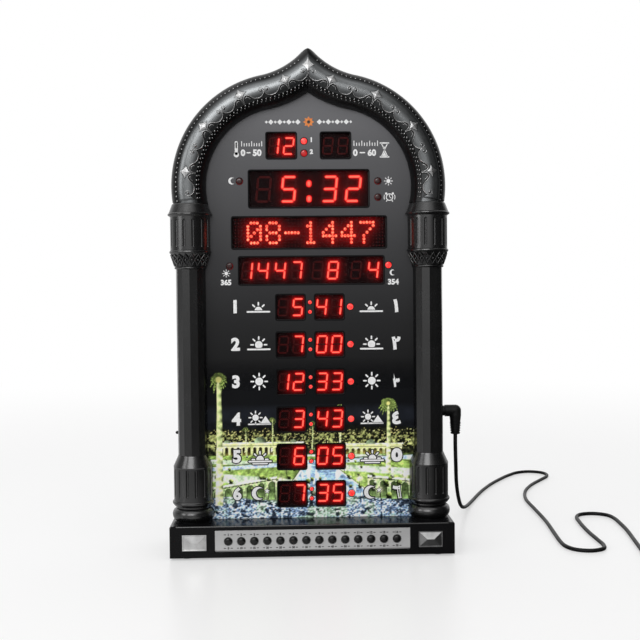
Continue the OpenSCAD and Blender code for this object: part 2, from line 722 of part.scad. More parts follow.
module back_cover() color([0.09, 0.09, 0.095]) difference() {
    union() {
        upright(housing_back, back_t) arch_area(housing_out, plinth_top + 0.2);
        // locating rib inside the housing's rim
        upright(housing_back - 1.5, 2) difference() {
            arch_area(housing_out - housing_wall - 0.2, plinth_top + housing_wall + 0.2);
            arch_area(housing_out - housing_wall - 1.8, plinth_top + housing_wall + 1.8);
        }
    }
    boss_points() {
        rod_y(boss_r + 0.3, housing_back - 2, housing_back);
        rod_y(screw_r + 0.2, housing_back - 2, cover_back + 1);
        rod_y(head_r + 0.3, cover_back - head_h, cover_back + 1);
    }
    hang_points() {
        rod_y(hang_r, housing_back - 2, cover_back + 1, 48);
        block([-hang_slot_r, housing_back - 2, 0], [hang_slot_r, cover_back + 1, hang_r + 4]);
        translate([0, 0, hang_r + 4]) rod_y(hang_slot_r, housing_back - 2, cover_back + 1);
    }
    // sound slots behind the loudspeaker, and air slots higher up
    for (k = [-3 : 3]) {
        half = sqrt(pow(speaker_r - 5, 2) - pow(5.4 * k, 2));
        block([-half, housing_back - 2, speaker_z + 5.4 * k - 1.2], [half, cover_back + 1, speaker_z + 5.4 * k + 1.2]);
    }
    for (k = [0 : 4]) translate([0, 0, capital_foot - 20 + 7 * k])
        block([-30, housing_back - 2, -1.2], [30, cover_back + 1, 1.2]);
}

// A screw along Y with its head's underside at depth seat
module screw_y(seat, length) {
    rod_y(head_r, seat, seat + head_h - 0.1);
    rod_y(screw_r - 0.05, seat - length, seat + 0.3);
}

module cover_screws() color([0.3, 0.3, 0.31]) boss_points() screw_y(cover_back - head_h, 8);

// ---------- panel and display ----------

module window_shapes() {
    for (s = [-1, 1]) {
        translate([s * top_x, small_z]) rounded(top_w, top_h, window_corner);
        for (i = [0 : row_count - 1]) translate([s * row_x, row_z(i)]) rounded(row_w, row_h, window_corner);
    }
    translate([0, clock_mid]) rounded(clock_w, clock_h, window_corner + 0.6);
    translate([0, matrix_mid]) rounded(matrix_w, matrix_h, window_corner);
    translate([date_x, date_mid]) rounded(date_w, date_h, window_corner);
}

module light_points(places) {
    for (p = places) translate([p.x, 0, p.y]) children();
}

module face_panel() color([0.16, 0.16, 0.17]) difference() {
    upright(face_y, panel_t) difference() {
        arch_area(panel_in, plinth_top + 0.6);
        window_shapes();
    }
    light_points(light_places) rod_y(light_r + light_gap, face_y - 1, panel_back + 1);
    light_points(colon_places) rod_y(colon_r + light_gap, face_y - 1, panel_back + 1, 24);
}

module red_filter() color([0.45, 0.03, 0.04, 0.7]) difference() {
    upright(panel_back, filter_t) intersection() {
        arch_area(ledge_in - 0.4, plinth_top);
        translate([-plinth_w / 2, row_z(row_count - 1) - row_h / 2 - 2.8])
            square([plinth_w, small_z + top_h / 2 + 2.5 - row_z(row_count - 1) + row_h / 2 + 2.8]);
    }
    light_points(light_places) rod_y(light_r + light_gap, panel_back - 1, filter_back + 1);
    light_points(colon_places) rod_y(colon_r + light_gap, panel_back - 1, filter_back + 1, 24);
}

module display_board() color([0.1, 0.3, 0.16]) difference() {
    upright(board_front, board_t) intersection() {
        arch_area(board_in, board_foot);
        translate([-150, board_foot]) square([300, board_top - board_foot]);
    }
    post_points() rod_y(screw_r + 0.2, board_front - 1, board_back + 1);
}

module board_screws() color([0.7, 0.68, 0.6]) {
    post_points() screw_y(board_back, 5);
    for (s = [-1, 1]) translate([s * key_post_x, 0, key_z]) screw_y(key_board_back, 5);
}

// A number module w wide and h high with its bevelled front and a ring of standing wall
module number_module(w, h) {
    block([-w / 2, module_front + 0.6, -h / 2], [w / 2, board_front, h / 2]);
    block([0.5 - w / 2, module_front, 0.5 - h / 2], [w / 2 - 0.5, module_front + 1, h / 2 - 0.5]);
}

module small_digits() color([0.12, 0.11, 0.12])
    for (s = [-1, 1]) translate([s * top_x, 0, small_z]) number_module(top_w + module_over, top_h + module_over);

module clock_digits() color([0.12, 0.11, 0.12]) {
    digit_w = (clock_w + module_over) / 5;
    for (k = [-2 : 2]) translate([k * digit_w, 0, clock_mid])
        number_module(digit_w - 0.1, clock_h + module_over);
}

matrix_count = 6;

module matrix_modules() color([0.12, 0.11, 0.12]) {
    pitch = (matrix_w + module_over) / matrix_count;
    for (k = [0 : matrix_count - 1]) translate([(k - (matrix_count - 1) / 2) * pitch, 0, matrix_mid])
        number_module(pitch - 0.1, matrix_h + module_over);
}

date_count = 4;

module date_digits() color([0.12, 0.11, 0.12]) {
    pitch = (date_w + module_over) / date_count;
    for (k = [0 : date_count - 1]) translate([date_x + (k - (date_count - 1) / 2) * pitch, 0, date_mid])
        number_module(pitch - 0.1, date_h + module_over);
}

module row_digits() color([0.12, 0.11, 0.12])
    for (s = [-1, 1]) for (i = [0 : row_count - 1])
        translate([s * row_x, 0, row_z(i)]) number_module(row_w + module_over, row_h + module_over);

module light(r) {
    translate([0, face_y + r - 0.2, 0]) sphere(r, $fn = 32);
    rod_y(r, face_y + r - 0.2, board_front);
}

module colon_lights() color([0.85, 0.1, 0.08]) light_points(colon_places) light(colon_r);

module indicator_lights() color([0.85, 0.1, 0.08]) light_points(light_places) light(light_r);

// ---------- electronics behind the board ----------

// A chip: its body and two rows of legs
module chip(w, h, t) {
    block([-w / 2, board_back + 0.2, -h / 2], [w / 2, board_back + 0.2 + t, h / 2]);
    for (s = [-1, 1]) block([min(s * w / 2, s * (w / 2 + 1.2)), board_back, 0.8 - h / 2],
                            [max(s * w / 2, s * (w / 2 + 1.2)), board_back + 0.5, h / 2 - 0.8]);
}

module control_chips() color([0.06, 0.06, 0.065]) {
    translate([-35, 0, plinth_top + 190]) chip(14, 14, 1.6);
    translate([20, 0, plinth_top + 200]) chip(7.6, 18, 2.4);
    for (k = [0 : 3]) translate([-50 + 30 * k, 0, plinth_top + 232]) chip(7.6, 18, 2.4);
}

cell_place = [45, plinth_top + 175];
cell_r = 8;

module cell_holder() color([0.12, 0.12, 0.13]) translate([cell_place.x, 0, cell_place.y]) difference() {
    rod_y(cell_r + 2, board_back, board_back + 3.4, 48);
    rod_y(cell_r + 0.15, board_back + 1.2, board_back + 4, 48);
}

module coin_cell() color([0.75, 0.76, 0.78]) translate([cell_place.x, 0, cell_place.y])
    rod_y(cell_r, board_back + 1.2, board_back + 3.2, 48);

module speaker_basket() color([0.3, 0.3, 0.31]) translate([0, 0, speaker_z]) difference() {
    union() {
        rod_y(speaker_r, housing_back - 2.5, housing_back, 64);
        rod_y(speaker_r - 5, housing_back - 6, housing_back - 2, 64);
        rod_y(11, housing_back - 11, housing_back - 5, 48);
    }
    rod_y(speaker_r - 6.5, housing_back - 5, housing_back + 1, 64);
}

module speaker_cone() color([0.16, 0.15, 0.14]) translate([0, housing_back, speaker_z])
    rotate([90, 0, 0]) rotate_extrude($fn = 64) {
        r = speaker_r - 6.6;
        polygon([[0, 2.2], [4, 2.4], [6, 3.6], [r - 2, 1], [r, 1.6], [r, 2.1], [r - 2, 1.6], [6, 4.4],
                 [6, 5], [0, 5]]);
    }

// ---------- sockets, probe and inner leads ----------

module dc_jack() color([0.08, 0.08, 0.085]) translate([housing_half, jack_mid_y, jack_height]) rotate([0, -90, 0]) {
    difference() {
        union() {
            cylinder(r = jack_bush_r, h = housing_wall + 1);
            translate([-5.5, -4.5, housing_wall]) cube([11, 9, 11.5]);
        }
        translate([0, 0, -1]) cylinder(r = jack_bore_r, h = 12);
    }
    translate([0, 0, 1.5]) cylinder(r = jack_pin_r, h = 10, $fn = 32);
}

module temperature_probe() color([0.06, 0.06, 0.06])
    translate([-housing_half, probe_y, probe_z]) rotate([0, -90, 0]) {
        translate([0, 0, -housing_wall - 0.8]) cylinder(r = 2, h = housing_wall + 0.8, $fn = 32);
        cylinder(r = 2.8, h = 0.9, $fn = 32);
        cylinder(r = 0.6, h = 3.4, $fn = 24);
        translate([0, 0, 3.9]) sphere(1.3, $fn = 32);
    }

lead_r = 0.7;
lead_gap = 0.15;

module inner_leads() color([0.7, 0.1, 0.08]) {
    away = board_back + lead_gap;
    box_x = housing_half - housing_wall - 11.5;
    // from the power socket
    for (s = [0, 1]) tube([
        [box_x - lead_gap, jack_mid_y - 1.5 + 3 * s, jack_height],
        [box_x - 3, jack_mid_y - 1.5 + 3 * s, jack_height],
        [box_x - 7, jack_mid_y - 1.3 + 2.6 * s, jack_height - 2.5 - s],
        [box_x - 12, jack_mid_y - 1 + 1.8 * s, jack_height - 5 - 3 * s],
        [box_x - 19, jack_mid_y - 1.5 + s, jack_height - 5 - 4 * s],
        [box_x - 22, away + 1.8, jack_height - 5 - 4 * s],
        [box_x - 22, away, jack_height - 5 - 4 * s]], lead_r, 6, 3);
    // from the loudspeaker
    for (x = [-15, -12]) tube([
        [x, housing_back - 6 - lead_gap, speaker_z + 8],
        [x, housing_back - 8.5, speaker_z + 8],
        [x, away + 7.5, speaker_z + 13],
        [x, away + 5, speaker_z + 23],
        [x, away + 2, speaker_z + 30],
        [x, away, speaker_z + 30.5]], lead_r, 6, 3);
    // from the probe
    tube([
        [-housing_half + housing_wall + 0.8 + lead_gap, probe_y, probe_z],
        [-housing_half + housing_wall + 3.5, probe_y, probe_z],
        [-housing_half + housing_wall + 8, probe_y + 1, probe_z - 2],
        [-housing_half + housing_wall + 14, probe_y + 3, probe_z - 5],
        [-housing_half + housing_wall + 21, probe_y + 2.5, probe_z - 5],
        [-housing_half + housing_wall + 24, away + 1.8, probe_z - 5],
        [-housing_half + housing_wall + 24, away, probe_z - 5]], lead_r, 6, 3);
}

// ---------- swept tubes ----------

function unit(v) = v / norm(v);

// Catmull-Rom curve through the points
function spline(p, n) = let (last = len(p) - 1) concat([for (i = [0 : last - 1]) for (k = [0 : n - 1])
    let (a = p[max(i - 1, 0)], b = p[i], c = p[i + 1], d = p[min(i + 2, last)], t = k / n)
    0.5 * (2 * b + (c - a) * t + (2 * a - 5 * b + 4 * c - d) * t * t + (3 * b - a - 3 * c + d) * t * t * t)],
    [p[last]]);

// Rings of a tube stay square to the path, turned as little as possible from one to the next
function path_way(q, i) = unit(q[min(i + 1, len(q) - 1)] - q[max(i - 1, 0)]);
function ring_side(q, i, side) = unit(side - (side * path_way(q, i)) * path_way(q, i));
function ring_sides(q, first) = [for (i = 0, s = ring_side(q, 0, first); i < len(q);
    i = i + 1, s = i < len(q) ? ring_side(q, i, s) : s) s];

module swept(q, r, sides, first = [1, 0.2, 0.1]) {
    s = ring_sides(q, first);
    n = len(q);
    pts = [for (i = [0 : n - 1]) let (u = s[i], v = cross(path_way(q, i), s[i])) for (k = [0 : sides - 1])
        q[i] + r * (cos(360 * (k + 0.5) / sides) * u + sin(360 * (k + 0.5) / sides) * v)];
    wall = [for (i = [0 : n - 2]) for (k = [0 : sides - 1]) let (a = i * sides + k, b = i * sides + (k + 1) % sides)
        each [[a, a + sides, b], [b, a + sides, b + sides]]];
    polyhedron(points = pts, faces = concat(wall, [[for (k = [0 : sides - 1]) k]],
        [[for (k = [sides - 1 : -1 : 0]) (n - 1) * sides + k]]));
}

module tube(p, r, sides, n) {
    swept(spline(p, n), r, sides);
}

// ---------- plug, cord, coil and adapter ----------

module dc_plug() color([0.06, 0.06, 0.065]) translate([0, jack_mid_y, 0]) {
    x0 = housing_half + 0.2;
    x1 = plug_exit.x;
    difference() {
        union() {
            translate([x0, 0, jack_height]) rotate([0, 90, 0]) cylinder(r = plug_r - 0.6, h = 4.9);
            translate([x0 + 4.5, 0, jack_height]) rotate([0, 90, 0]) cylinder(r = plug_r - 1.1, h = 1.6);
            translate([x0 + 5.7, 0, jack_height]) rotate([0, 90, 0]) cylinder(r = plug_r, h = x1 - x0 - 5.7);
            translate([x1, 0, jack_height]) sphere(plug_r, $fn = 64);
            translate([x1, 0, jack_height - 4]) cylinder(r = plug_r, h = 4);
            translate([x1, 0, plug_exit.z]) cylinder(r1 = plug_r - 1.7, r2 = plug_r, h = jack_height - 4 - plug_exit.z);
            for (k = [0 : 4]) translate([x1, 0, plug_exit.z + 0.4 + 2 * k]) cylinder(r = plug_r - 0.9 + 0.15 * k, h = 1);
            // the metal sleeve in the socket
            translate([x0 - 9.2, 0, jack_height]) rotate([0, 90, 0]) cylinder(r = plug_sleeve_r, h = 9.4);
        }
        translate([x0 - 10, 0, jack_height]) rotate([0, 90, 0]) cylinder(r = plug_sleeve_bore, h = 10, $fn = 32);
    }
}

module cord_run() color([0.04, 0.04, 0.045]) {
    p = spline(cord_route, rings_per_span);
    // both ends leave square to what they meet
    last = len(p) - 1;
    q = concat([p[0], p[0] - [0, 0, cord_d]], [for (i = [2 : last - 2]) p[i]], [p[last] + [0, cord_d, 0], p[last]]);
    swept(q, cord_r, cord_sides);
}

// Centre line of the coil at turn t: in along the first layer, up at the turning point, out on the next
function coil_radius(t) = coil_mean_r + coil_pitch * (coil_loops / 4 - (t < coil_loops / 2 ? t : coil_loops - t));
function coil_climb(t) = let (s = min(1, max(0, (t - coil_loops / 2 + 0.25) / 0.5))) s * s * (3 - 2 * s);
function coil_point(t) = [
    coil_c.x + coil_radius(t) * cos(180 + 360 * t),
    coil_c.y + coil_radius(t) * sin(180 + 360 * t),
    cord_r + coil_pitch * coil_climb(t)];
coil_end_turn = coil_loops + 0.25;
function coil_line() = [for (k = [0 : coil_rings * coil_end_turn]) coil_point(k / coil_rings)];
// Least free gap of the coil to itself, over points more than half a turn apart
function coil_least_gap() = let (q = coil_line(), n = len(q), far = coil_rings / 2)
    min([for (i = [0 : n - 1]) for (j = [i + far : 1 : n - 1]) norm(q[i] - q[j])]) - cord_d;

module cord_coil() color([0.04, 0.04, 0.045]) {
    q = coil_line();
    end = q[len(q) - 1];
    swept(concat([coil_start, q[0]], [for (i = [1 : len(q) - 2]) q[i]],
        [end, end + [cord_d, 0, 0], end + [adapter_gap, 0, 0]]), cord_r, coil_sides, [1, 0, 0]);
}

adapter_z = cord_r + coil_pitch;
adapter_x = coil_point(coil_end_turn).x + adapter_gap;
adapter_y = coil_point(coil_end_turn).y;

module coil_tie() color([0.05, 0.05, 0.055]) {
    r0 = coil_mean_r - coil_pitch - cord_r - 0.6;
    r1 = coil_mean_r + coil_pitch + cord_r + 0.6;
    top = 2 * cord_r + coil_pitch + 0.5;
    translate([coil_c.x, coil_c.y, 0]) rotate([0, 0, 35]) difference() {
        block([r0 - 0.8, -2.5, 0], [r1 + 0.8, 2.5, top + 0.8]);
        block([r0, -3, -1], [r1, 3, top]);
    }
}

module adapter_body() color([0.07, 0.07, 0.075]) translate([adapter_x, adapter_y, 0]) {
    relief = 16;
    translate([0, 0, adapter_z]) rotate([0, 90, 0]) cylinder(r1 = cord_r + 0.5, r2 = cord_r + 1.7, h = relief + 0.5);
    intersection() {
        translate([relief, 0, 0]) rotate([90, 0, 90]) linear_extrude(adapter_l)
            translate([0, adapter_h / 2]) rounded(adapter_w, adapter_h, 3);
        translate([relief + adapter_l / 2, adapter_w / 2, 0]) rotate([90, 0, 0]) linear_extrude(adapter_w)
            translate([0, adapter_h / 2]) rounded(adapter_l, adapter_h, 3);
    }
}

module adapter_pins() color([0.75, 0.75, 0.77]) {
    x = adapter_x + 16 + adapter_l;
    for (s = [-1, 1]) translate([x, adapter_y + 9.5 * s, adapter_h / 2]) rotate([0, 90, 0]) {
        cylinder(r = 2, h = 18, $fn = 32);
        translate([0, 0, 18]) sphere(2, $fn = 32);
    }
}

plinth_shell();
plinth_cover();
rubber_feet();
plinth_screws();
button_strip();
inlay_left();
inlay_right();
key_board();
key_switches();
ribbon_headers();
ribbon_cable();
for (i = [1 : key_count]) key_cap(i);
column_base_left();
column_base_right();
column_shaft_left();
column_shaft_right();
capital_left();
capital_right();
arch_frame();
housing();
back_cover();
cover_screws();
face_panel();
red_filter();
display_board();
board_screws();
small_digits();
clock_digits();
matrix_modules();
date_digits();
row_digits();
colon_lights();
indicator_lights();
control_chips();
cell_holder();
coin_cell();
speaker_basket();
speaker_cone();
inner_leads();
dc_jack();
temperature_probe();
dc_plug();
cord_run();
cord_coil();
coil_tie();
adapter_body();
adapter_pins();
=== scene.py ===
from math import acos, asin, cos, pi, radians, sin, sqrt, tan, tau

import bmesh
import bpy
import numpy as np
from mathutils import Matrix, Vector


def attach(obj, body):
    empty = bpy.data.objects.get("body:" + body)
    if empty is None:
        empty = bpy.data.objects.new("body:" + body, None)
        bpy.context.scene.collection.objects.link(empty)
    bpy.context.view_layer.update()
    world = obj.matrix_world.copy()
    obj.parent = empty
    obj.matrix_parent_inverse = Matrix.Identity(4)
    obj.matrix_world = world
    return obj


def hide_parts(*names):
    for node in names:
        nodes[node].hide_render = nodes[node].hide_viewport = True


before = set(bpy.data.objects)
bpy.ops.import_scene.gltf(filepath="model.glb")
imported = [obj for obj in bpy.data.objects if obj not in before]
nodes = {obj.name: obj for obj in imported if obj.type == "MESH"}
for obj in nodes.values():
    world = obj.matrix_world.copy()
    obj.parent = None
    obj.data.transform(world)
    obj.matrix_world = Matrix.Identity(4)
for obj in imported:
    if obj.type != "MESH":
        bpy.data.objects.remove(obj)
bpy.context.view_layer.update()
MM = 0.001
scene = bpy.context.scene
scene.view_settings.view_transform = "Standard"

# Millimetres, as in the part's source: the fronts of the panel, the number modules and the key strip
FACE_Y, MODULE_FRONT, STRIP_FRONT = -9.0, -6.3, -33.8
PLINTH_TOP, COLUMN_X = 25.8, 92.8
KEYS = [(-64.65 + 9.946 * i, 14.1) for i in range(14)]
ROW_Z = [44.65 + 29.47 * (5 - i) for i in range(6)]
# Each window's middle, width and height
WINDOWS = {
    "thermometer": (-21.2, 318.15, 24.0, 20.9), "timer": (21.2, 318.15, 24.0, 20.9),
    "clock": (0.0, 284.5, 94.4, 29.6), "matrix": (0.0, 250.4, 121.5, 25.4), "date": (1.5, 220.8, 114.4, 22.4),
    **{f"row_{i + 1}_{side}": (x, z, 23.4, 20.45)
       for i, z in enumerate(ROW_Z) for side, x in (("left", -15.23), ("right", 15.23))}}
LIGHTS = [(31.63, z) for z in ROW_Z] + [(-3.5, 321.6), (-3.5, 312.2), (-54.1, 290.6), (54.1, 290.2),
                                        (54.1, 277.6), (-62.4, 224.5), (62.0, 224.5)]
COLONS = [(0.0, z + dz) for z in ROW_Z for dz in (3.75, -3.75)]
CORNERS = ((-1, -1), (1, -1), (1, 1), (-1, 1))


def lamp_holes(wider=0.0):
    """Middle and radius of every round lamp's hole, and of the colons', that much wider."""
    return [(x, z, 2.5 + wider) for x, z in LIGHTS] + [(x, z, 1.5 + wider) for x, z in COLONS]


# ---------- camera ----------

def place_camera():
    """The photograph's camera: its place in millimetres, and its turns in degrees."""
    yaw, pitch, roll = (radians(a) for a in (1.885, 1.939, -0.525))
    ahead = Vector((sin(yaw) * cos(pitch), cos(yaw) * cos(pitch), -sin(pitch)))
    right = Vector((cos(yaw), -sin(yaw), 0))
    up = right.cross(ahead)
    right, up = (cos(roll) * right + sin(roll) * up, cos(roll) * up - sin(roll) * right)
    lens = bpy.data.cameras.new("camera")
    lens.lens, lens.sensor_width, lens.clip_start, lens.clip_end = 56.25, 36, 0.05, 60
    camera = bpy.data.objects.new("camera", lens)
    turn = Matrix((right, up, -ahead)).transposed()
    camera.matrix_world = Matrix.Translation(Vector((-18.016, -793.4, 208.35)) * MM) @ turn.to_4x4()
    scene.collection.objects.link(camera)
    scene.camera = camera


place_camera()


# ---------- meshes ----------

def show(mesh, body="clock"):
    """Puts a mesh into the scene as a piece that rides on a body."""
    made = bpy.data.objects.new(mesh.name, mesh)
    scene.collection.objects.link(made)
    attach(made, body)
    return made


def piece(name, points, faces, material, slot, body="clock", smooth=False, **attributes):
    """A piece from points in millimetres, with numbers or colours on its points."""
    mesh = bpy.data.meshes.new(name)
    mesh.from_pydata([tuple(c * MM for c in p) for p in points], [], [tuple(f) for f in faces])
    for key, values in attributes.items():
        values = np.asarray(values, np.float32)
        kind, part = ("FLOAT", "value") if values.ndim == 1 else ("FLOAT_COLOR", "color")
        mesh.attributes.new(key, kind, "POINT").data.foreach_set(part, values.ravel())
    mesh.polygons.foreach_set("use_smooth", [smooth] * len(mesh.polygons))
    mesh.materials.append(material)
    mesh.update()
    return show(mesh, body)


def around(sides):
    """The turns of a regular polygon's corners."""
    return np.arange(sides) * tau / sides


def circle(x, z, r, turns):
    return [(x + r * cos(t), z + r * sin(t)) for t in turns]


def capsule(a, b, r, ends):
    """Outline of a bar with round ends, that many points to an end."""
    a, b = np.array(a, float), np.array(b, float)
    way = (b - a) / max(1e-6, np.hypot(*(b - a)))
    side = np.array([-way[1], way[0]])
    turns = np.linspace(0, pi, ends)
    return ([a + r * (side * cos(t) - way * sin(t)) for t in turns]
            + [b + r * (-side * cos(t) + way * sin(t)) for t in turns])


def rounded(x, z, w, h, r):
    """A rounded rectangle's outline about (x, z), anticlockwise."""
    return [(x + sx * (w / 2 - r) + r * cos(t), z + sz * (h / 2 - r) + r * sin(t))
            for (sx, sz), start in zip(CORNERS[1:] + CORNERS[:1], (-90, 0, 90, 180))
            for t in np.radians(np.linspace(start, start + 90, 5))]


def bands(rings, n, closed=True, flip=False):
    """Faces between neighbouring rings, or open rows, of n points each."""
    faces = [(j * n + i, j * n + (i + 1) % n, (j + 1) * n + (i + 1) % n, (j + 1) * n + i)
             for j in range(rings - 1) for i in range(n if closed else n - 1)]
    return [(a, d, c, b) for a, b, c, d in faces] if flip else faces


def fan(first, n):
    """Triangles from a ring of n points to the point after it."""
    return [(first + i, first + (i + 1) % n, first + n) for i in range(n)]


def dome(x, z, r, y, high, sides):
    """Points and faces of a dome on a circle, bulging to the front."""
    steps = 5
    points = [(px, y - high * sin(t), pz) for t in np.linspace(0, pi / 2, steps, endpoint=False)
              for px, pz in circle(x, z, r * cos(t), around(sides))]
    return points + [(x, y - high, z)], bands(steps, sides) + fan((steps - 1) * sides, sides)


def tube(path, r, sides):
    """A round tube's points and faces along a path, with its rings turned as little as possible."""
    q = np.asarray(path, float)
    way = np.gradient(q, axis=0)
    way /= np.linalg.norm(way, axis=1)[:, None]
    side = np.array([1.0, 0.2, 0.1])
    points = []
    for at, ahead in zip(q, way):
        side = side - side.dot(ahead) * ahead
        side /= np.linalg.norm(side)
        other = np.cross(ahead, side)
        points += [at + r * (cos(t) * side + sin(t) * other) for t in around(sides)]
    ends = [range(sides - 1, -1, -1), range((len(q) - 1) * sides, len(q) * sides)]
    return points, bands(len(q), sides) + ends


class Heap:
    """Points and faces that several shapes are added to before they become one piece."""

    def __init__(self):
        self.points, self.faces, self.values = [], [], []

    def add(self, points, faces, values=None):
        first = len(self.points)
        self.points += [tuple(p) for p in points]
        self.faces += [tuple(first + i for i in f) for f in faces]
        self.values += [0.0] * len(points) if values is None else list(values)

    def bar(self, a, b, r, y0, y1, ends=5):
        """A bar with round ends; its value is 1 along the middle and 0 at the edge."""
        rim = capsule(a, b, r, ends)
        n = len(rim)
        points = [(x, y0, z) for x, z in [*rim, a, b]] + [(x, y1, z) for x, z in rim]
        faces = [(n, i, i + 1) for i in range(ends - 1)] + [(n + 1, i, i + 1) for i in range(ends, n - 1)]
        faces += [(n, ends - 1, ends, n + 1), (n + 1, n - 1, 0, n)]
        faces += [(i, n + 2 + i, n + 2 + (i + 1) % n, (i + 1) % n) for i in range(n)]
        faces.append(range(2 * n + 1, n + 1, -1))
        self.add(points, faces, [0.0] * n + [1.0, 1.0] + [0.0] * n)

    def disc(self, x, z, r, y0, y1, n):
        self.add([(px, y, pz) for y in (y0, y1) for px, pz in circle(x, z, r, around(n))],
                 [range(n), range(2 * n - 1, n - 1, -1)] + bands(2, n, flip=True))

    def done(self, name, material, slot, **more):
        return piece(name, self.points, self.faces, material, slot, **more)


# ---------- materials ----------

class Value:
    """A number or colour inside a shader tree, which takes Python's operators."""

    def __init__(self, net, socket):
        self.net, self.socket = net, socket

    def maths(self, operation, *others):
        return self.net.node("ShaderNodeMath", {"operation": operation}, dict(enumerate((self,) + others)))

    def __add__(self, other):
        return self.maths("ADD", other)

    def __sub__(self, other):
        return self.maths("SUBTRACT", other)

    def __mul__(self, other):
        return self.maths("MULTIPLY", other)

    def __truediv__(self, other):
        return self.maths("DIVIDE", other)

    def __rsub__(self, other):
        return self.net.node("ShaderNodeMath", {"operation": "SUBTRACT"}, {0: other, 1: self})

    __radd__, __rmul__ = __add__, __mul__

    def smooth(self, low, high, start=0.0, end=1.0):
        """start below low, end above high, and a soft step between."""
        return self.net.node("ShaderNodeMapRange", {"interpolation_type": "SMOOTHSTEP"},
                             {0: self, 1: low, 2: high, 3: start, 4: end})

    def spread(self, start=0.0, end=1.0):
        """A noise's usual range as a soft step from start to end."""
        return self.smooth(0.3, 0.7, start, end)


class Net:
    """A shader tree that is built node by node."""

    def __init__(self, tree):
        self.tree = tree

    def node(self, kind, settings=None, inputs=None, output=0):
        made = self.tree.nodes.new(kind)
        for key, value in (settings or {}).items():
            if key == "stops":
                elements = made.color_ramp.elements
                while len(elements) < len(value):
                    elements.new(0.5)
                for element, (place, colour) in zip(elements, value):
                    element.position, element.color = place, colour
            else:
                setattr(made, key, value)
        for key, value in (inputs or {}).items():
            if isinstance(value, Value):
                self.tree.links.new(value.socket, made.inputs[key])
            else:
                made.inputs[key].default_value = value
        return Value(self, made.outputs[output])

    def split(self, vector):
        return [self.node("ShaderNodeSeparateXYZ", {}, {0: vector}, k) for k in range(3)]

    def mix(self, a, b, factor):
        """Colour a where factor is 0 and b where it is 1."""
        return self.node("ShaderNodeMix", {"data_type": "RGBA"}, {0: factor, 6: a, 7: b}, 2)

    def ramp(self, factor, *stops):
        """Greys between (place, value) stops, or colours between (place, (r, g, b)) stops."""
        whole = [(p, (v, v, v, 1) if isinstance(v, float) else (*v, 1)) for p, v in stops]
        return self.node("ShaderNodeValToRGB", {"stops": whole}, {0: factor})


class Finish(Net):
    """One material: a Principled shader and the nodes that vary it."""

    def __init__(self, name, **constants):
        self.material = bpy.data.materials.new(name)
        self.material.use_nodes = True
        super().__init__(self.material.node_tree)
        self.shader = self.tree.nodes["Principled BSDF"]
        self.output = self.tree.nodes["Material Output"]
        for key, value in constants.items():
            self.shader.inputs[key.replace("_", " ")].default_value = value

    def place(self, scale=(1, 1, 1)):
        """Object coordinates in metres, stretched."""
        source = self.node("ShaderNodeTexCoord", output=3)
        return self.node("ShaderNodeMapping", {}, {0: source, 3: scale})

    def noise(self, size, detail=3.0, scale=(1, 1, 1)):
        """Soft noise with features of that size in millimetres."""
        return self.node("ShaderNodeTexNoise", {},
                         {"Vector": self.place(scale), "Scale": 1000 / size, "Detail": detail})

    def attribute(self, name, output=2):
        return self.node("ShaderNodeAttribute", {"attribute_name": name}, {}, output)

    def feed(self, **values):
        for key, value in values.items():
            self.tree.links.new(value.socket, self.shader.inputs[key.replace("_", " ")])
        return self

    def bump(self, height, distance):
        """Relief of that many millimetres."""
        return self.feed(Normal=self.node("ShaderNodeBump", {}, {"Height": height, "Distance": distance * MM}))


def grey(v, blue=0.0):
    return (v, v, v * (1 + blue), 1)


def moulded(name, dark, light, rough=(0.3, 0.45), grain=0.35, depth=0.02, patch=18.0, shine=0.5):
    """Moulded plastic, rubber or resin: soft cloudy colour, fine grain and uneven gloss."""
    f = Finish(name, Specular_IOR_Level=shine)
    cloud, fine = f.noise(patch), f.noise(grain, 2.0)
    f.feed(Base_Color=f.mix(dark, light, (cloud * 0.7 + fine * 0.3).spread()),
           Roughness=(cloud * 0.5 + f.noise(patch / 5) * 0.5).smooth(0.25, 0.75, *rough))
    return f.bump(fine, depth).material


def metal(name, dark, light, rough, grain, depth=0.01):
    """Plated or polished metal with a fine, uneven gloss."""
    f = Finish(name, Metallic=1.0)
    fine = f.noise(grain)
    f.feed(Base_Color=f.mix(dark, light, fine.spread()), Roughness=(fine * 0.6 + f.noise(9.0) * 0.4).spread(*rough))
    return f.bump(fine, depth).material


black_gloss = moulded("black_gloss", grey(0.003, 0.1), grey(0.006, 0.1), (0.12, 0.22), 0.8, 0.004, 40, shine=0.16)
black_satin = moulded("black_satin", grey(0.008, 0.08), grey(0.016, 0.08), (0.4, 0.55), 0.45, 0.03, shine=0.3)
back_satin = moulded("back_satin", grey(0.02, 0.05), grey(0.034, 0.05), (0.42, 0.55), 0.45, 0.03, shine=0.35)
rubber = moulded("rubber_black", grey(0.012), grey(0.02), (0.7, 0.85), 0.5, 0.04, shine=0.25)
screw_steel = metal("screw_steel", grey(0.3), grey(0.5), (0.25, 0.4), 0.4)
chrome = metal("chrome_trim", grey(0.62), grey(0.82), (0.06, 0.13), 6.0, 0.002)
header_ivory = moulded("header_ivory", (0.55, 0.5, 0.38, 1), (0.68, 0.63, 0.5, 1), (0.35, 0.5))
module_black = moulded("module_black", (0.006, 0.0015, 0.002, 1), (0.012, 0.003, 0.004, 1), (0.4, 0.6), 0.3, 0.01)
key_black = moulded("key_black", grey(0.002), grey(0.005), (0.14, 0.24), 0.3, 0.004, 4)
cell_steel = metal("cell_steel", grey(0.5), grey(0.66), (0.12, 0.25), 1.0)
cone_black = moulded("cone_black", grey(0.02), grey(0.045), (0.8, 0.95), 0.8, 0.12, 5)
lead_red = moulded("lead_red", (0.3, 0.012, 0.01, 1), (0.42, 0.02, 0.015, 1), (0.3, 0.4), 1.0, 0.01)
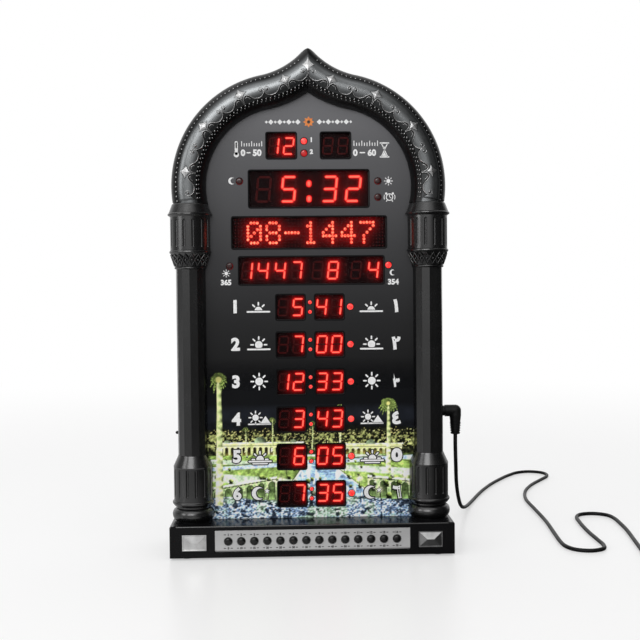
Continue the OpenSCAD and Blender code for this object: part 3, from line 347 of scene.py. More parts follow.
cord_black = moulded("cord_black", grey(0.004), grey(0.009), (0.36, 0.5), 0.6, 0.015, 25, shine=0.25)
plug_black = moulded("plug_black", grey(0.004), grey(0.009), (0.34, 0.5), 0.35, 0.02, 12, shine=0.3)
tie_black = moulded("tie_black", grey(0.014), grey(0.025), (0.4, 0.55), 0.4, 0.03, 5)
adapter_black = moulded("adapter_black", grey(0.008), grey(0.015), (0.45, 0.6), 0.5, 0.05, 12, shine=0.3)
bead_pewter = metal("bead_pewter", grey(0.3), grey(0.5), (0.16, 0.28), 1.5, 0.002)
scroll_pewter = metal("scroll_pewter", grey(0.42), grey(0.6), (0.24, 0.34), 1.5, 0.002)
star_pewter = metal("star_pewter", grey(0.46), grey(0.66), (0.3, 0.4), 1.5, 0.002)
edge_gloss = moulded("edge_gloss", grey(0.01), grey(0.02), (0.12, 0.2), 2.0, 0.001, 40, shine=1.0)


def column_finish():
    """Satin black moulding with a fine vertical grain."""
    f = Finish("moulding_black", Specular_IOR_Level=1.0, IOR=1.58)
    grain = f.noise(0.5, scale=(1, 1, 0.25))
    cloud = f.noise(14.0)
    f.feed(Base_Color=f.mix(grey(0.0015, 0.1), grey(0.004, 0.1), (grain * 0.7 + cloud * 0.3).spread()),
           Roughness=(cloud * 0.6 + grain * 0.4).spread(0.22, 0.28))
    return f.bump(grain, 0.012).material


def pewter_finish():
    """Black moulding whose raised ornament is rubbed with pewter."""
    f = Finish("arch_pewter", Specular_IOR_Level=0.3)
    rub = f.attribute("rub")
    wear, cloud = f.noise(3.5, 2.0), f.noise(11.0)
    amount = rub * (wear * 0.06 + 0.97)
    f.feed(Base_Color=f.mix(grey(0.003, 0.1), (0.25, 0.26, 0.265, 1), amount),
           Metallic=amount.smooth(0.0, 0.4, 0.0, 0.96),
           Roughness=(cloud * 0.5 + wear * 0.5).spread(0.28, 0.33))
    return f.bump(f.noise(2.5), 0.002).material


def silver_finish():
    """Key strip: fine brushed silver, a little darker towards its top."""
    f = Finish("strip_silver", Metallic=0.35, Specular_IOR_Level=0.4)
    streak = f.noise(0.35, scale=(0.03, 1, 1))
    height = f.split(f.place())[2]
    f.feed(Base_Color=f.mix(grey(0.5), grey(0.64), (streak * 0.5 + height.smooth(0.02, 0.008) * 0.5)),
           Roughness=streak.spread(0.32, 0.46))
    return f.bump(streak, 0.006).material


def board_finish():
    """Solder-resist green with faint copper tracks under it and pale pads."""
    f = Finish("board_green", Coat_Weight=0.3, Coat_Roughness=0.2)
    track = f.node("ShaderNodeTexBrick", {"offset": 0.37, "squash": 1.4},
                   {"Vector": f.place(), "Scale": 160.0, "Mortar Size": 0.03, "Color1": grey(0), "Color2": grey(0),
                    "Mortar": grey(1)}, 1)
    pads = f.node("ShaderNodeTexVoronoi", {}, {"Vector": f.place(), "Scale": 260.0}).smooth(0.12, 0.2, 1.0, 0.0)
    green = f.mix((0.008, 0.06, 0.025, 1), (0.02, 0.12, 0.05, 1), track)
    f.feed(Base_Color=f.mix(green, (0.5, 0.46, 0.32, 1), pads * 0.8), Roughness=f.noise(5.0).spread(0.3, 0.45))
    return f.bump(track, 0.03).material


def ribbon_finish():
    """Flat cable with its wires side by side."""
    f = Finish("cable_grey")
    wires = f.node("ShaderNodeTexWave", {"bands_direction": "X"}, {"Vector": f.place(), "Scale": 320.0})
    f.feed(Base_Color=f.mix(grey(0.25), grey(0.42, 0.05), wires), Roughness=f.noise(4.0).spread(0.4, 0.55))
    return f.bump(wires, 0.15).material


def lamp_finish(name, dark, light, strength, colour):
    """Red resin lamp; a lit one glows with an uneven colour."""
    f = Finish(name, Coat_Weight=0.4, Coat_Roughness=0.08, Emission_Strength=strength)
    cloud = f.noise(1.2)
    f.feed(Base_Color=f.mix(dark, light, cloud.spread()), Roughness=cloud.spread(0.15, 0.3),
           Emission_Color=f.mix(colour[0], colour[1], f.noise(2.2).smooth(0.35, 0.65)))
    return f.material


def filter_finish():
    """Clear dark red sheet before the numbers."""
    f = Finish("filter_red", Alpha=0.2, Specular_IOR_Level=0.12)
    cloud = f.noise(30.0)
    f.feed(Base_Color=f.mix((0.006, 0.0008, 0.001, 1), (0.011, 0.001, 0.0014, 1), cloud),
           Roughness=cloud.spread(0.12, 0.2))
    return f.material


def segment_finish():
    """Lit bars: pale in the middle, deep red at the edge."""
    f = Finish("segment_lit", Specular_IOR_Level=0.2, Roughness=0.5, Emission_Strength=1.8)
    core = f.attribute("core")
    f.feed(Emission_Color=f.mix((0.8, 0.006, 0.008, 1), (1.0, 0.17, 0.11, 1),
                                (core + (f.noise(1.5) - 0.5) * 0.2).smooth(0.1, 0.8)),
           Base_Color=f.mix((0.5, 0.01, 0.01, 1), (0.6, 0.05, 0.04, 1), core))
    return f.material


def ghost_finish():
    """Unlit bars and dots: a faint dark red, with a faint painted glow though they are not lit."""
    f = Finish("segment_dark", Specular_IOR_Level=0.2, Roughness=0.6, Emission_Strength=1.0)
    cloud = f.noise(3.0)
    f.feed(Base_Color=f.mix((0.03, 0.003, 0.003, 1), (0.05, 0.005, 0.005, 1), cloud),
           Emission_Color=f.mix((0.03, 0.0012, 0.0012, 1), (0.05, 0.0025, 0.0025, 1), cloud))
    return f.material


def glow_finish():
    """The number modules' dark face, with a painted red glow round the lit bars that stands in for their spilled
    light.
    """
    f = Finish("glow_field", Specular_IOR_Level=0.15, Roughness=0.6, Emission_Strength=1.0)
    glow = f.attribute("glow")
    f.feed(Emission_Color=f.mix((0.0015, 0.0002, 0.0003, 1), (0.75, 0.006, 0.008, 1), glow),
           Base_Color=f.mix((0.003, 0.0008, 0.001, 1), (0.006, 0.0012, 0.0015, 1), f.noise(0.6)))
    return f.material


def dot_finish():
    """Lit dots of the matrix."""
    f = Finish("dot_lit", Specular_IOR_Level=0.2, Roughness=0.5, Emission_Strength=1.5)
    f.feed(Emission_Color=f.mix((1.0, 0.03, 0.02, 1), (1.0, 0.3, 0.16, 1), f.noise(1.1).smooth(0.35, 0.65)),
           Base_Color=f.mix((0.5, 0.01, 0.01, 1), (0.6, 0.05, 0.04, 1), f.noise(0.8)))
    return f.material


# The printed sheet's ground, partly print and partly painted reflection of light from above the camera: grey at the
# top of the arch, black towards the plinth
GROUND_AND_SHEEN = [(0.0, 0.004), (0.2, 0.006), (0.27, 0.009), (0.36, 0.013), (0.44, 0.021), (0.52, 0.034), (0.6, 0.052),
          (0.7, 0.08), (0.82, 0.115), (0.9, 0.165), (1.0, 0.18)]


def panel_finish():
    """Printed sheet under a clear gloss: grey at the top, black at the foot; the gradient is partly print and partly
    painted reflection.
    """
    f = Finish("panel_print", Specular_IOR_Level=0.14)
    height = f.split(f.place())[2].maths("SUBTRACT", PLINTH_TOP * MM) / (350 * MM)
    # painted reflection: the ramp's lighter top stands partly for light reflected from above the camera
    ground = f.ramp(height + (f.noise(60.0) - 0.5) * 0.02, *[(p, (v, v, v * 1.05)) for p, v in GROUND_AND_SHEEN])
    speck = f.noise(0.45)
    f.feed(Base_Color=f.mix(ground, grey(0.2), (speck - 0.5) * 0.05), Roughness=f.noise(25.0).spread(0.3, 0.4))
    return f.bump(speck, 0.006).material


def picture_finish():
    """The printed picture, which fades into the sheet above it."""
    f = Finish("panel_picture", Specular_IOR_Level=0.14)
    colour, fade = f.attribute("print", 0), f.attribute("fade")
    f.feed(Base_Color=colour, Alpha=fade, Roughness=f.noise(25.0).spread(0.3, 0.4))
    return f.bump(f.noise(0.45), 0.006).material


def ink_finish(name, dark, light):
    """Printing ink, a little uneven."""
    f = Finish(name, Specular_IOR_Level=0.3)
    cloud = f.noise(1.2, 4.0)
    f.feed(Base_Color=f.mix(dark, light, cloud.smooth(0.25, 0.6)), Roughness=cloud.spread(0.4, 0.55))
    return f.material


moulding_black, arch_pewter, strip_silver = column_finish(), pewter_finish(), silver_finish()
board_green, cable_grey, filter_red = board_finish(), ribbon_finish(), filter_finish()
segment_lit, segment_dark, glow_field, dot_lit = segment_finish(), ghost_finish(), glow_finish(), dot_finish()
panel_print, panel_picture = panel_finish(), picture_finish()
light_dark = lamp_finish("light_dark", (0.02, 0.002, 0.002, 1), (0.035, 0.003, 0.003, 1), 0.0, (grey(0), grey(0)))
light_dim = lamp_finish("light_dim", (0.2, 0.004, 0.004, 1), (0.3, 0.006, 0.006, 1), 0.45,
                        ((0.5, 0.004, 0.006, 1), (0.8, 0.02, 0.02, 1)))
light_lit = lamp_finish("light_lit", (0.5, 0.01, 0.01, 1), (0.6, 0.02, 0.02, 1), 1.0,
                        ((1.0, 0.02, 0.02, 1), (1.0, 0.1, 0.08, 1)))
white_ink = ink_finish("white_ink", grey(0.78), grey(0.92))
black_ink = ink_finish("black_ink", grey(0.004), grey(0.01))
grey_ink = ink_finish("grey_ink", grey(0.02), grey(0.05))
orange_ink = ink_finish("orange_ink", (0.7, 0.16, 0.03, 1), (0.85, 0.3, 0.08, 1))


# ---------- geometry trees ----------

def grow(name, source, build, slot, **inputs):
    """A piece that a geometry tree makes from bare points and edges in millimetres."""
    tree = bpy.data.node_groups.get(build.__name__)
    if tree is None:
        tree = bpy.data.node_groups.new(build.__name__, "GeometryNodeTree")
        tree.interface.new_socket("Geometry", in_out="INPUT", socket_type="NodeSocketGeometry")
        for key, value in inputs.items():
            kind = "NodeSocketFloat" if isinstance(value, float) else "NodeSocketMaterial"
            tree.interface.new_socket(key, in_out="INPUT", socket_type=kind)
        tree.interface.new_socket("Geometry", in_out="OUTPUT", socket_type="NodeSocketGeometry")
        build(tree)
    points, edges = source
    mesh = bpy.data.meshes.new(name + "_start")
    mesh.from_pydata([tuple(c * MM for c in p) for p in points], edges, [])
    start = bpy.data.objects.new(name + "_start", mesh)
    scene.collection.objects.link(start)
    modifier = start.modifiers.new("tree", "NODES")
    modifier.node_group = tree
    sockets = {s.name: s.identifier for s in tree.interface.items_tree if s.in_out == "INPUT"}
    for key, value in inputs.items():
        modifier[sockets[key]] = value
    grown = bpy.data.meshes.new_from_object(start.evaluated_get(bpy.context.evaluated_depsgraph_get()))
    start.modifiers.remove(modifier)
    bpy.data.objects.remove(start)
    grown.name = name
    show(grown)


def chain(tree, *steps):
    """Joins nodes, each (kind, settings, inputs), between the group's input and output.

    An input is a plain value, the name of a group input, or a (kind, inputs) node of its own.
    """
    inside, outside = tree.nodes.new("NodeGroupInput"), tree.nodes.new("NodeGroupOutput")

    def fill(node, inputs):
        for key, value in inputs.items():
            if isinstance(value, tuple):
                tree.links.new(fill(tree.nodes.new(value[0]), value[1]), node.inputs[key])
            elif isinstance(value, str):
                tree.links.new(inside.outputs[value], node.inputs[key])
            else:
                node.inputs[key].default_value = value
        return node.outputs[0]

    flow = inside.outputs[0]
    for kind, settings, inputs in steps:
        made = tree.nodes.new(kind)
        for key, value in settings.items():
            setattr(made, key, value)
        tree.links.new(flow, made.inputs[0])
        flow = fill(made, inputs)
    tree.links.new(flow, outside.inputs[0])


BALLS = ("GeometryNodeInstanceOnPoints", {},
         {"Instance": ("GeometryNodeMeshUVSphere", {"Segments": 8, "Rings": 5, "Radius": "Radius"})})
CURVES = ("GeometryNodeMeshToCurve", {}, {})
PLAIN_MESH = (("GeometryNodeRealizeInstances", {}, {}),
              ("GeometryNodeSetShadeSmooth", {}, {"Shade Smooth": True}),
              ("GeometryNodeSetMaterial", {}, {"Material": "Finish"}))


def bead_tree(tree):
    """Balls at an even pitch along lines."""
    chain(tree, CURVES, ("GeometryNodeResampleCurve", {"mode": "LENGTH"}, {"Length": "Pitch"}), BALLS, *PLAIN_MESH)


def dot_tree(tree):
    """A ball on every point."""
    chain(tree, BALLS, *PLAIN_MESH)


def rib_tree(tree):
    """A round wire along every line."""
    profile = ("GeometryNodeCurvePrimitiveCircle", {"Resolution": 6, "Radius": "Radius"})
    chain(tree, CURVES, ("GeometryNodeCurveToMesh", {}, {"Profile Curve": profile, "Fill Caps": True}), *PLAIN_MESH)


def lines(paths):
    """Several open paths as one mesh of points and edges."""
    points, edges = [], []
    for path in paths:
        edges += [(len(points) + i, len(points) + i + 1) for i in range(len(path) - 1)]
        points += [tuple(p) for p in path]
    return points, edges


def away(x, z, path):
    """Distance from a path in the plane, and how far along it the nearest point lies, from 0 to 1."""
    best, along = np.full(x.shape, 1e9), np.zeros(x.shape)
    for k, ((ax, az), (bx, bz)) in enumerate(zip(path, path[1:])):
        dx, dz = bx - ax, bz - az
        t = np.clip(((x - ax) * dx + (z - az) * dz) / max(1e-9, dx * dx + dz * dz), 0, 1)
        d = np.hypot(x - ax - t * dx, z - az - t * dz)
        along = np.where(d < best, (k + t) / (len(path) - 1), along)
        best = np.minimum(best, d)
    return best, along


# ---------- lead ----------

CORD_D = 3.2
# From the plug down to the surface, and then along it
ROUTE = [[117, 8, 88], [117, 8, 78], [118, 12, 62], [121, 27, 44], [127, 52, 26], [135, 84, 12], [145, 118, 4]]
ROUTE += [[x, y, CORD_D / 2] for x, y in (
    (157, 152), (173, 192), (191, 230), (211, 264), (223, 281), (233, 292), (246, 297), (257.5, 292), (262, 281),
    (259, 267), (247, 248), (231, 222), (218, 192), (210, 156), (208, 112), (206, 66), (202, 24), (199.6, -3),
    (200, -18.3), (205.4, -28.8), (216.6, -32.3), (227.1, -26.9), (230.6, -15.7), (231, -1), (231.3, 24), (232.6, 46),
    (234.4, 64), (236.7, 78.8), (243.3, 89.1), (255.3, 91.8), (265.6, 85.2), (268.3, 73.2), (267.6, 57), (265, 30),
    (259, -8), (252, -52), (246, -94), (244, -126), (244, -136))]
COIL_LOOPS, COIL_R, COIL_PITCH = 4, 18.0, 3.8
COIL_C = (244 + COIL_R + COIL_PITCH, -136 - CORD_D)


def spline(points, n):
    """Catmull-Rom curve through the points, n steps to a span."""
    p = np.array(points, float)
    last = len(p) - 1
    out = []
    for i in range(last):
        a, b, c, d = p[max(i - 1, 0)], p[i], p[i + 1], p[min(i + 2, last)]
        for k in range(n):
            t = k / n
            out.append(0.5 * (2 * b + (c - a) * t + (2 * a - 5 * b + 4 * c - d) * t * t
                              + (3 * b - a - 3 * c + d) * t ** 3))
    return out + [p[last]]


def coil_point(t):
    """The coil after t loops: it winds inwards, steps up one layer and winds out again."""
    radius = COIL_R + COIL_PITCH * (COIL_LOOPS / 4 - (t if t < COIL_LOOPS / 2 else COIL_LOOPS - t))
    s = min(1.0, max(0.0, (t - COIL_LOOPS / 2 + 0.25) / 0.5))
    turn = radians(180 + 360 * t)
    return np.array([COIL_C[0] + radius * cos(turn), COIL_C[1] + radius * sin(turn),
                     CORD_D / 2 + COIL_PITCH * s * s * (3 - 2 * s)])


def make_lead():
    """The lead from the plug's relief to the adapter's, down to the surface and into its coil."""
    steps = 48
    coil = [coil_point(k / steps) for k in range(int(steps * (COIL_LOOPS + 0.25)) + 1)]
    path = spline(ROUTE, 4) + coil + [coil[-1] + np.array([reach, 0, 0]) for reach in (3.2, 8.0)]
    points, faces = tube(path, CORD_D / 2 - 0.02, 12)
    lead = piece("power_lead", points, faces, cord_black, "cord_black", smooth=True)
    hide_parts("cord_run", "cord_coil")
    length = float(sum(np.linalg.norm(b - a) for a, b in zip(path, path[1:])))
    [c * MM for c in path[0]]
    [[float(c) * MM for c in p] for p in path]


make_lead()


# ---------- studio ----------

def stage_piece(name, corners, material):
    """A flat surface of the studio, in metres."""
    mesh = bpy.data.meshes.new(name)
    mesh.from_pydata(corners, [], [(0, 1, 2, 3)])
    mesh.materials.append(material)
    made = bpy.data.objects.new(name, mesh)
    scene.collection.objects.link(made)


def floor_finish():
    """Pale satin table top that turns white where it meets the background."""
    f = Finish("floor_pale", Roughness=0.3, Specular_IOR_Level=0.3)
    seen = f.node("ShaderNodeLightPath")
    glossy = Value(f, seen.socket.node.outputs["Is Glossy Ray"])
    side, back = f.split(f.place())[:2]
    far = (side * side + back * back).maths("POWER", 0.5)
    pale = f.mix(grey(0.92), grey(0.96), f.noise(300.0))
    # painted reflection: polished faces see it bright only just before the plinth and dark to the right, unlike what
    # the camera sees
    mirrored = f.mix(f.mix(grey(0.16), grey(0.6), back.smooth(-0.3, -0.12)), grey(0.02), side.smooth(-0.02, 0.1))
    # the camera sees the pale colour, reflections see the painted one, and other bounced light sees a plain grey
    f.feed(Base_Color=f.mix(f.mix(grey(0.5), mirrored, glossy), pale, seen))
    white = f.node("ShaderNodeEmission", {}, {0: grey(1.0), 1: 1.0})
    lit = Value(f, f.shader.outputs[0])
    whole = f.node("ShaderNodeMixShader", {}, {0: seen * far.smooth(0.4, 1.5, 0.42, 1.0), 1: lit, 2: white})
    f.tree.links.new(whole.socket, f.output.inputs[0])
    return f.material


def light_studio():
    """Soft light from the front and above, darker to the right, with a white wall behind."""
    world = bpy.data.worlds.new("studio")
    scene.world = world
    world.use_nodes = True
    world.node_tree.nodes.clear()
    n = Net(world.node_tree)
    x, y, z = n.split(n.node("ShaderNodeTexCoord"))
    # what polished faces see, from behind the camera, 0, to the wall behind the clock, 1
    ring = n.ramp(y * 0.5 + 0.5, (0.0, 0.66), (0.1, 0.45), (0.24, 0.45), (0.38, 0.22), (0.52, 0.2), (0.66, 0.4),
                  (0.78, 0.8), (1.0, 1.0))
    front = y.smooth(0.25, 0.75, 1.0, 0.0)
    # darker to the right and overhead, with a bright band high up at the left
    shade = (1.0 - front * x.smooth(0.1, 0.5, 0.0, 0.9)) * (1.0 - front * z.smooth(0.7, 0.97, 0.0, 0.5))
    path = n.node("ShaderNodeLightPath")
    glossy = Value(n, path.socket.node.outputs["Is Glossy Ray"])
    high = front * z.smooth(0.6, 0.8) * z.smooth(0.9, 0.99, 1.0, 0.0) * x.smooth(0.2, 0.6, 1.0, 0.1)
    soft = n.mix(grey(0.82), n.mix(n.mix(grey(0.0), ring, shade), grey(1.0), high), glossy)
    back = n.node("ShaderNodeBackground", {}, {0: n.mix(soft, grey(1.0), path), 1: 1.0})
    n.tree.links.new(back.socket, n.tree.nodes.new("ShaderNodeOutputWorld").inputs[0])

    # place, aim and size in metres, and power in watts
    for name, at, aim, size, power in (
            ("softbox_front", (-0.4, -1.47, 1.05), (0, 0, 0.28), (1.0, 0.64), 6.8),
            ("softbox_left", (-1.18, -0.78, 0.64), (0, 0, 0.22), (0.45, 0.78), 2.4)):
        lamp = bpy.data.lights.new(name, "AREA")
        lamp.shape, lamp.size, lamp.size_y, lamp.energy = "RECTANGLE", size[0], size[1], power
        made = bpy.data.objects.new(name, lamp)
        made.location = at
        made.rotation_mode = "QUATERNION"
        made.rotation_quaternion = (Vector(aim) - Vector(at)).to_track_quat("-Z", "Y")
        scene.collection.objects.link(made)


stage_piece("floor", [(-6, -6, 0), (6, -6, 0), (6, 12, 0), (-6, 12, 0)], floor_finish())
light_studio()


# ---------- finishes of the carried-over solids ----------

def dress(material, names):
    for name in names.split():
        mesh = nodes[name].data
        mesh.materials.clear()
        mesh.materials.append(material)


for worn, parts in (
        (black_gloss, "plinth_shell"), (back_satin, "plinth_cover housing back_cover"),
        (black_satin, "key_switches control_chips dc_jack temperature_probe cell_holder"), (rubber, "rubber_feet"),
        (screw_steel, "plinth_screws cover_screws board_screws speaker_basket adapter_pins"),
        (strip_silver, "button_strip"), (chrome, "inlay_left inlay_right"), (board_green, "key_board display_board"),
        (header_ivory, "ribbon_headers"), (cable_grey, "ribbon_cable"),
        (moulding_black, "column_base_left column_base_right column_shaft_left column_shaft_right"),
        (moulding_black, "capital_left capital_right arch_frame"), (panel_print, "face_panel"),
        (filter_red, "red_filter"), (module_black, "small_digits clock_digits matrix_modules date_digits row_digits"),
        (light_dim, "indicator_lights colon_lights"), (cell_steel, "coin_cell"), (cone_black, "speaker_cone"),
        (lead_red, "inner_leads"), (plug_black, "dc_plug"), (tie_black, "coil_tie"), (adapter_black, "adapter_body"),
        (key_black, " ".join(f"button_{i + 1:02d}" for i in range(len(KEYS))))):
    dress(worn, parts)


# ---------- arch ----------

# The moulding's middle line: the bow round the shoulder, then the hollow sweep to the tip
BOW_C, BOW_R, BOW_TURN = np.array([18.9, 286.2]), 74.3, radians(78.3)
SWEEP_R, FRAME_R, ARCH_FOOT, TIP_R = 75.0, 13.2, 272.9, 6.0
SWEEP_C = BOW_C + (BOW_R + SWEEP_R) * np.array([cos(BOW_TURN), sin(BOW_TURN)])
BOW_START = -asin((BOW_C[1] - ARCH_FOOT) / BOW_R)
BOW_LENGTH = BOW_R * (BOW_TURN - BOW_START)
# The star under the tip, and the others' first place and pitch along the moulding and place across it
STAR_Z = 377.8
STAR_FIRST, STAR_PITCH, STAR_V = 23.5, 36.5, 2.1


def arch_line(g, n):
    """Points, outward directions and distances of the line g outside the moulding's middle, foot to tip."""
    start = -asin((BOW_C[1] - ARCH_FOOT) / (BOW_R + g))
    reach = SWEEP_R - g
    first, last = BOW_TURN + pi, pi + acos(SWEEP_C[0] / reach)
    bow, sweep = BOW_R * (BOW_TURN - start), SWEEP_R * (first - last)
    s = np.linspace(0, bow + sweep, n)
    on_bow = s <= bow
    a = np.where(on_bow, start + s / BOW_R, first - (s - bow) / SWEEP_R)
    way = np.stack([np.cos(a), np.sin(a)], 1)
    at = np.where(on_bow[:, None], BOW_C + (BOW_R + g) * way, SWEEP_C + reach * way)
    out = np.where(on_bow[:, None], way, -way)
    return at, out, np.where(on_bow, BOW_R * (a - BOW_START), BOW_LENGTH + (s - bow))


def arch_at(s, v, lift=0.0):
    """The point s along the moulding and v round its section, that far above its surface."""
    t = v / FRAME_R
    g = (FRAME_R + lift) * sin(t)
    if s <= BOW_LENGTH:
        a = BOW_START + s / BOW_R
        x, z = BOW_C + (BOW_R + g) * np.array([cos(a), sin(a)])
    else:
        a = BOW_TURN + pi - (s - BOW_LENGTH) / SWEEP_R
        x, z = SWEEP_C + (SWEEP_R - g) * np.array([cos(a), sin(a)])
    return x, FACE_Y - (FRAME_R + lift) * cos(t), z


def apex_at(x, z, lift=0.0):
    """The point of the moulding's surface in front of (x, z) near the tip, that far above it."""
    arm = np.array([abs(x), z]) - SWEEP_C
    t = asin((SWEEP_R - np.hypot(*arm)) / FRAME_R)
    out = -arm / np.hypot(*arm) * lift * sin(t)
    return (abs(x) + out[0]) * (-1 if x < 0 else 1), FACE_Y - (FRAME_R + lift) * cos(t), z + out[1]


def both(points):
    """A path and its mirror image."""
    return [points, [(-x, y, z) for x, y, z in points]]


# The scalloped edge of the rubbed field, over half a star pitch
SCALLOP = [(0.35, -5.9), (0.5, -4.0), (1.0, -2.3), (2.2, -0.9), (3.9, -0.5), (5.6, -1.1), (7.1, -2.5), (8.6, -4.0),
           (10.4, -5.0), (12.4, -5.3), (14.6, -5.0), (16.4, -4.0), (17.5, -2.7), (18.2, -1.3)]
EDGE = np.array(spline(SCALLOP, 5))
# The curl round each ball, and the one beside each star
HOOK = [(2.1, -1.2), (1.9, 0.4), (0.9, 1.7), (-0.7, 1.7), (-1.7, 0.6), (-1.6, -0.7)]
TWIG = [(2.6, -1.9), (4.2, -1.7), (5.5, -2.6), (6.0, -3.9)]


def unit(s):
    """Distance from the nearest star along the moulding."""
    folded = np.abs(((s - STAR_FIRST) / STAR_PITCH + 0.5) % 1 - 0.5) * STAR_PITCH
    last = STAR_FIRST + 3 * STAR_PITCH
    return np.where(s > last, s - last, folded)


def carving(s, v):
    """Height of the arch's rubbed field in millimetres, and how bright it is rubbed."""
    u = unit(s)
    side = np.sign(v - np.interp(u, EDGE[:, 0], EDGE[:, 1]))
    over = side * away(u, v, EDGE)[0]
    field = np.clip((over + 0.1) / 0.45, 0, 1)
    smooth = field * field * (3 - 2 * field)
    body = np.clip((s - 2.4) / 0.8, 0, 1)
    # a step up to the field, and a fine rib beside the inner beads
    height = np.maximum(0.6 * smooth * body, 0.3 * np.exp(-((v + 10.1) / 0.3) ** 2))
    # a dark line follows the scallops and the stars
    star = (u / 4.6) ** (2 / 3) + (np.abs(v - STAR_V) / 4.2) ** (2 / 3) - 1
    line = np.maximum(np.exp(-((over + 0.4) / 0.42) ** 2), 0.9 * np.exp(-((star - 0.12) / 0.12) ** 2) * (v < 5))
    across = np.clip((8.2 - v) / 3.4, 0, 1) * np.clip(v + 6.4, 0, 1)
    return height, (0.34 + 0.6 * smooth) * across * (1 - 0.95 * line * body)


def make_arch():
    """The arch moulding with its rubbed field, as a closed grid for each side."""
    rows = 520
    rim = pi / 2 * FRAME_R
    # finest across the scallops
    places = np.concatenate([np.linspace(a, b, n, endpoint=False) for a, b, n in (
        (-rim, -6.4, 18), (-6.4, 0.4, 30), (0.4, 8, 12))] + [np.linspace(8, rim, 16)])
    across = len(places)
    grid, rubs = np.zeros((rows, across, 3)), np.zeros((rows, across))
    tip_c = SWEEP_C[1] - sqrt((SWEEP_R - FRAME_R + TIP_R) ** 2 - SWEEP_C[0] ** 2)
    for k, v in enumerate(places):
        t = v / FRAME_R
        at, out, s = arch_line(FRAME_R * sin(t), rows)
        lift, rubs[:, k] = carving(s, np.full(rows, v))
        lift = lift * min(1, (rim - abs(v)) / 1.5)
        grid[:, k, 0] = np.maximum(at[:, 0] + out[:, 0] * lift * sin(t), 0)
        grid[:, k, 1] = FACE_Y - (FRAME_R + lift) * cos(t)
        grid[:, k, 2] = at[:, 1] + out[:, 1] * lift * sin(t)
    grid[-1, :, 0] = 0
    grid[0, :, 2] = ARCH_FOOT
    # the tip is rounded off
    touch = SWEEP_C[0] * TIP_R / (SWEEP_R - FRAME_R + TIP_R)
    over = (grid[:, :, 0] < touch) & (grid[:, :, 2] > tip_c)
    limit = tip_c + np.sqrt(np.clip(TIP_R ** 2 - grid[:, :, 0] ** 2, 0, None))
    grid[:, :, 2] = np.where(over, np.minimum(grid[:, :, 2], limit), grid[:, :, 2])
    heap = Heap()
    for side in (-1, 1):
        points = grid.reshape(-1, 3) * [side, 1, 1]
        faces = bands(rows, across, closed=False)
        faces += [(i * across + across - 1, i * across, (i + 1) * across, (i + 2) * across - 1)
                  for i in range(rows - 1)]
        faces.append(list(range(across - 1, -1, -1)))
        heap.add(points, faces if side < 0 else [f[::-1] for f in faces], rubs.ravel())
    made = heap.done("arch_moulding", arch_pewter, "arch_pewter", smooth=True, rub=heap.values)
    weld(made)
    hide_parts("arch_frame")


def weld(made):
    """Closes the seams of a piece and turns its faces outwards."""
    work = bmesh.new()
    work.from_mesh(made.data)
    bmesh.ops.remove_doubles(work, verts=work.verts, dist=0.01 * MM)
    bmesh.ops.recalc_face_normals(work, faces=work.faces)
    work.to_mesh(made.data)
    work.free()


def astroid(at, a, up, down, high):
    """A four-pointed star as a low tent on the moulding; at(a, b, lift) places a point of it."""
    n = 32
    rim = [(a * cos(t) ** 3, (up if sin(t) > 0 else down) * sin(t) ** 3) for t in around(n)]
    rings = [[at(p * k, q * k, high * (1 - k) ** 0.8 - drop) for p, q in rim]
             for k, drop in ((1.0, 1.3), (1.0, 0.0), (0.6, 0.0), (0.3, 0.0))]
    return [p for ring in rings for p in ring] + [at(0, 0, high)], bands(4, n) + fan(3 * n, n)


def make_ornament():
    """Stars, balls, curls and raised edges on the arch's rubbed field."""
    stars, balls, edges, curls = Heap(), [], [], []
    for k in range(4):
        s0 = STAR_FIRST + k * STAR_PITCH
        points, faces = astroid(lambda a, b, lift: arch_at(s0 + a, STAR_V + b, lift + 0.62), 5.0, 4.6, 4.4, 0.32)
        for side in (-1, 1):
            stars.add([(x * side, y, z) for x, y, z in points], faces if side > 0 else [f[::-1] for f in faces])
        for way in (-1, 1):
            line = [(s0 + way * u, v + 0.3) for u, v in EDGE]
            line = [(a, v) for a, v in line if a > 3.4]
            if len(line) > 3:
                edges += both([arch_at(a, v, 0.55) for a, v in line])
            ball = s0 + way * (15.2 if k == 3 and way > 0 else 15.9)
            if ball > 4:
                balls += [p for row in both([arch_at(ball, -0.2, 1.0)]) for p in row]
                curls += both([arch_at(ball + way * a, b, 0.65) for a, b in spline(HOOK, 5)])
            if s0 + way * 9 > 4:
                curls += both([arch_at(s0 + way * a, b, 0.15) for a, b in spline(TWIG, 5)])
    # the fourth star of each side meets its twin in the one under the tip
    front = apex_at(0.01, STAR_Z, 0.75)[1]
    points, faces = astroid(lambda a, b, lift: (a, front + 0.2 * b - lift, STAR_Z + b), 5.0, 6.4, 5.2, 0.3)
    stars.add(points, faces)
    curls.append([apex_at(0.01, STAR_Z + b, 0.25) for b in np.linspace(-3.6, -11.4, 12)])
    stars.done("arch_stars", star_pewter, "arch_pewter")
    for name, paths, radius in (("arch_scallops", edges, 0.38), ("arch_curls", curls, 0.34)):
        grow(name, lines(paths), rib_tree, "arch_pewter", Radius=radius * MM, Finish=scroll_pewter)
    grow("arch_balls", (balls, []), dot_tree, "arch_pewter", Radius=1.05 * MM, Finish=bead_pewter)


def make_beads():
    """Bead rows along both edges of the carving, laid at an even pitch."""
    for name, v, pitch, radius in (("arch_beads_outer", 9.9, 3.6, 0.85), ("arch_beads_inner", -7.1, 3.4, 0.85),
                                   ("arch_beads_edge", -8.9, 3.4, 0.6)):
        row = [arch_at(s, v, 0.1) for s in np.arange(3.0, 152.0, 0.5) if arch_at(s, v)[0] > 1.2]
        grow(name, lines(both(row)), bead_tree, "arch_pewter",
             Pitch=pitch * MM, Radius=radius * MM, Finish=bead_pewter)


make_arch()
make_ornament()
make_beads()


# ---------- collars under the capitals ----------

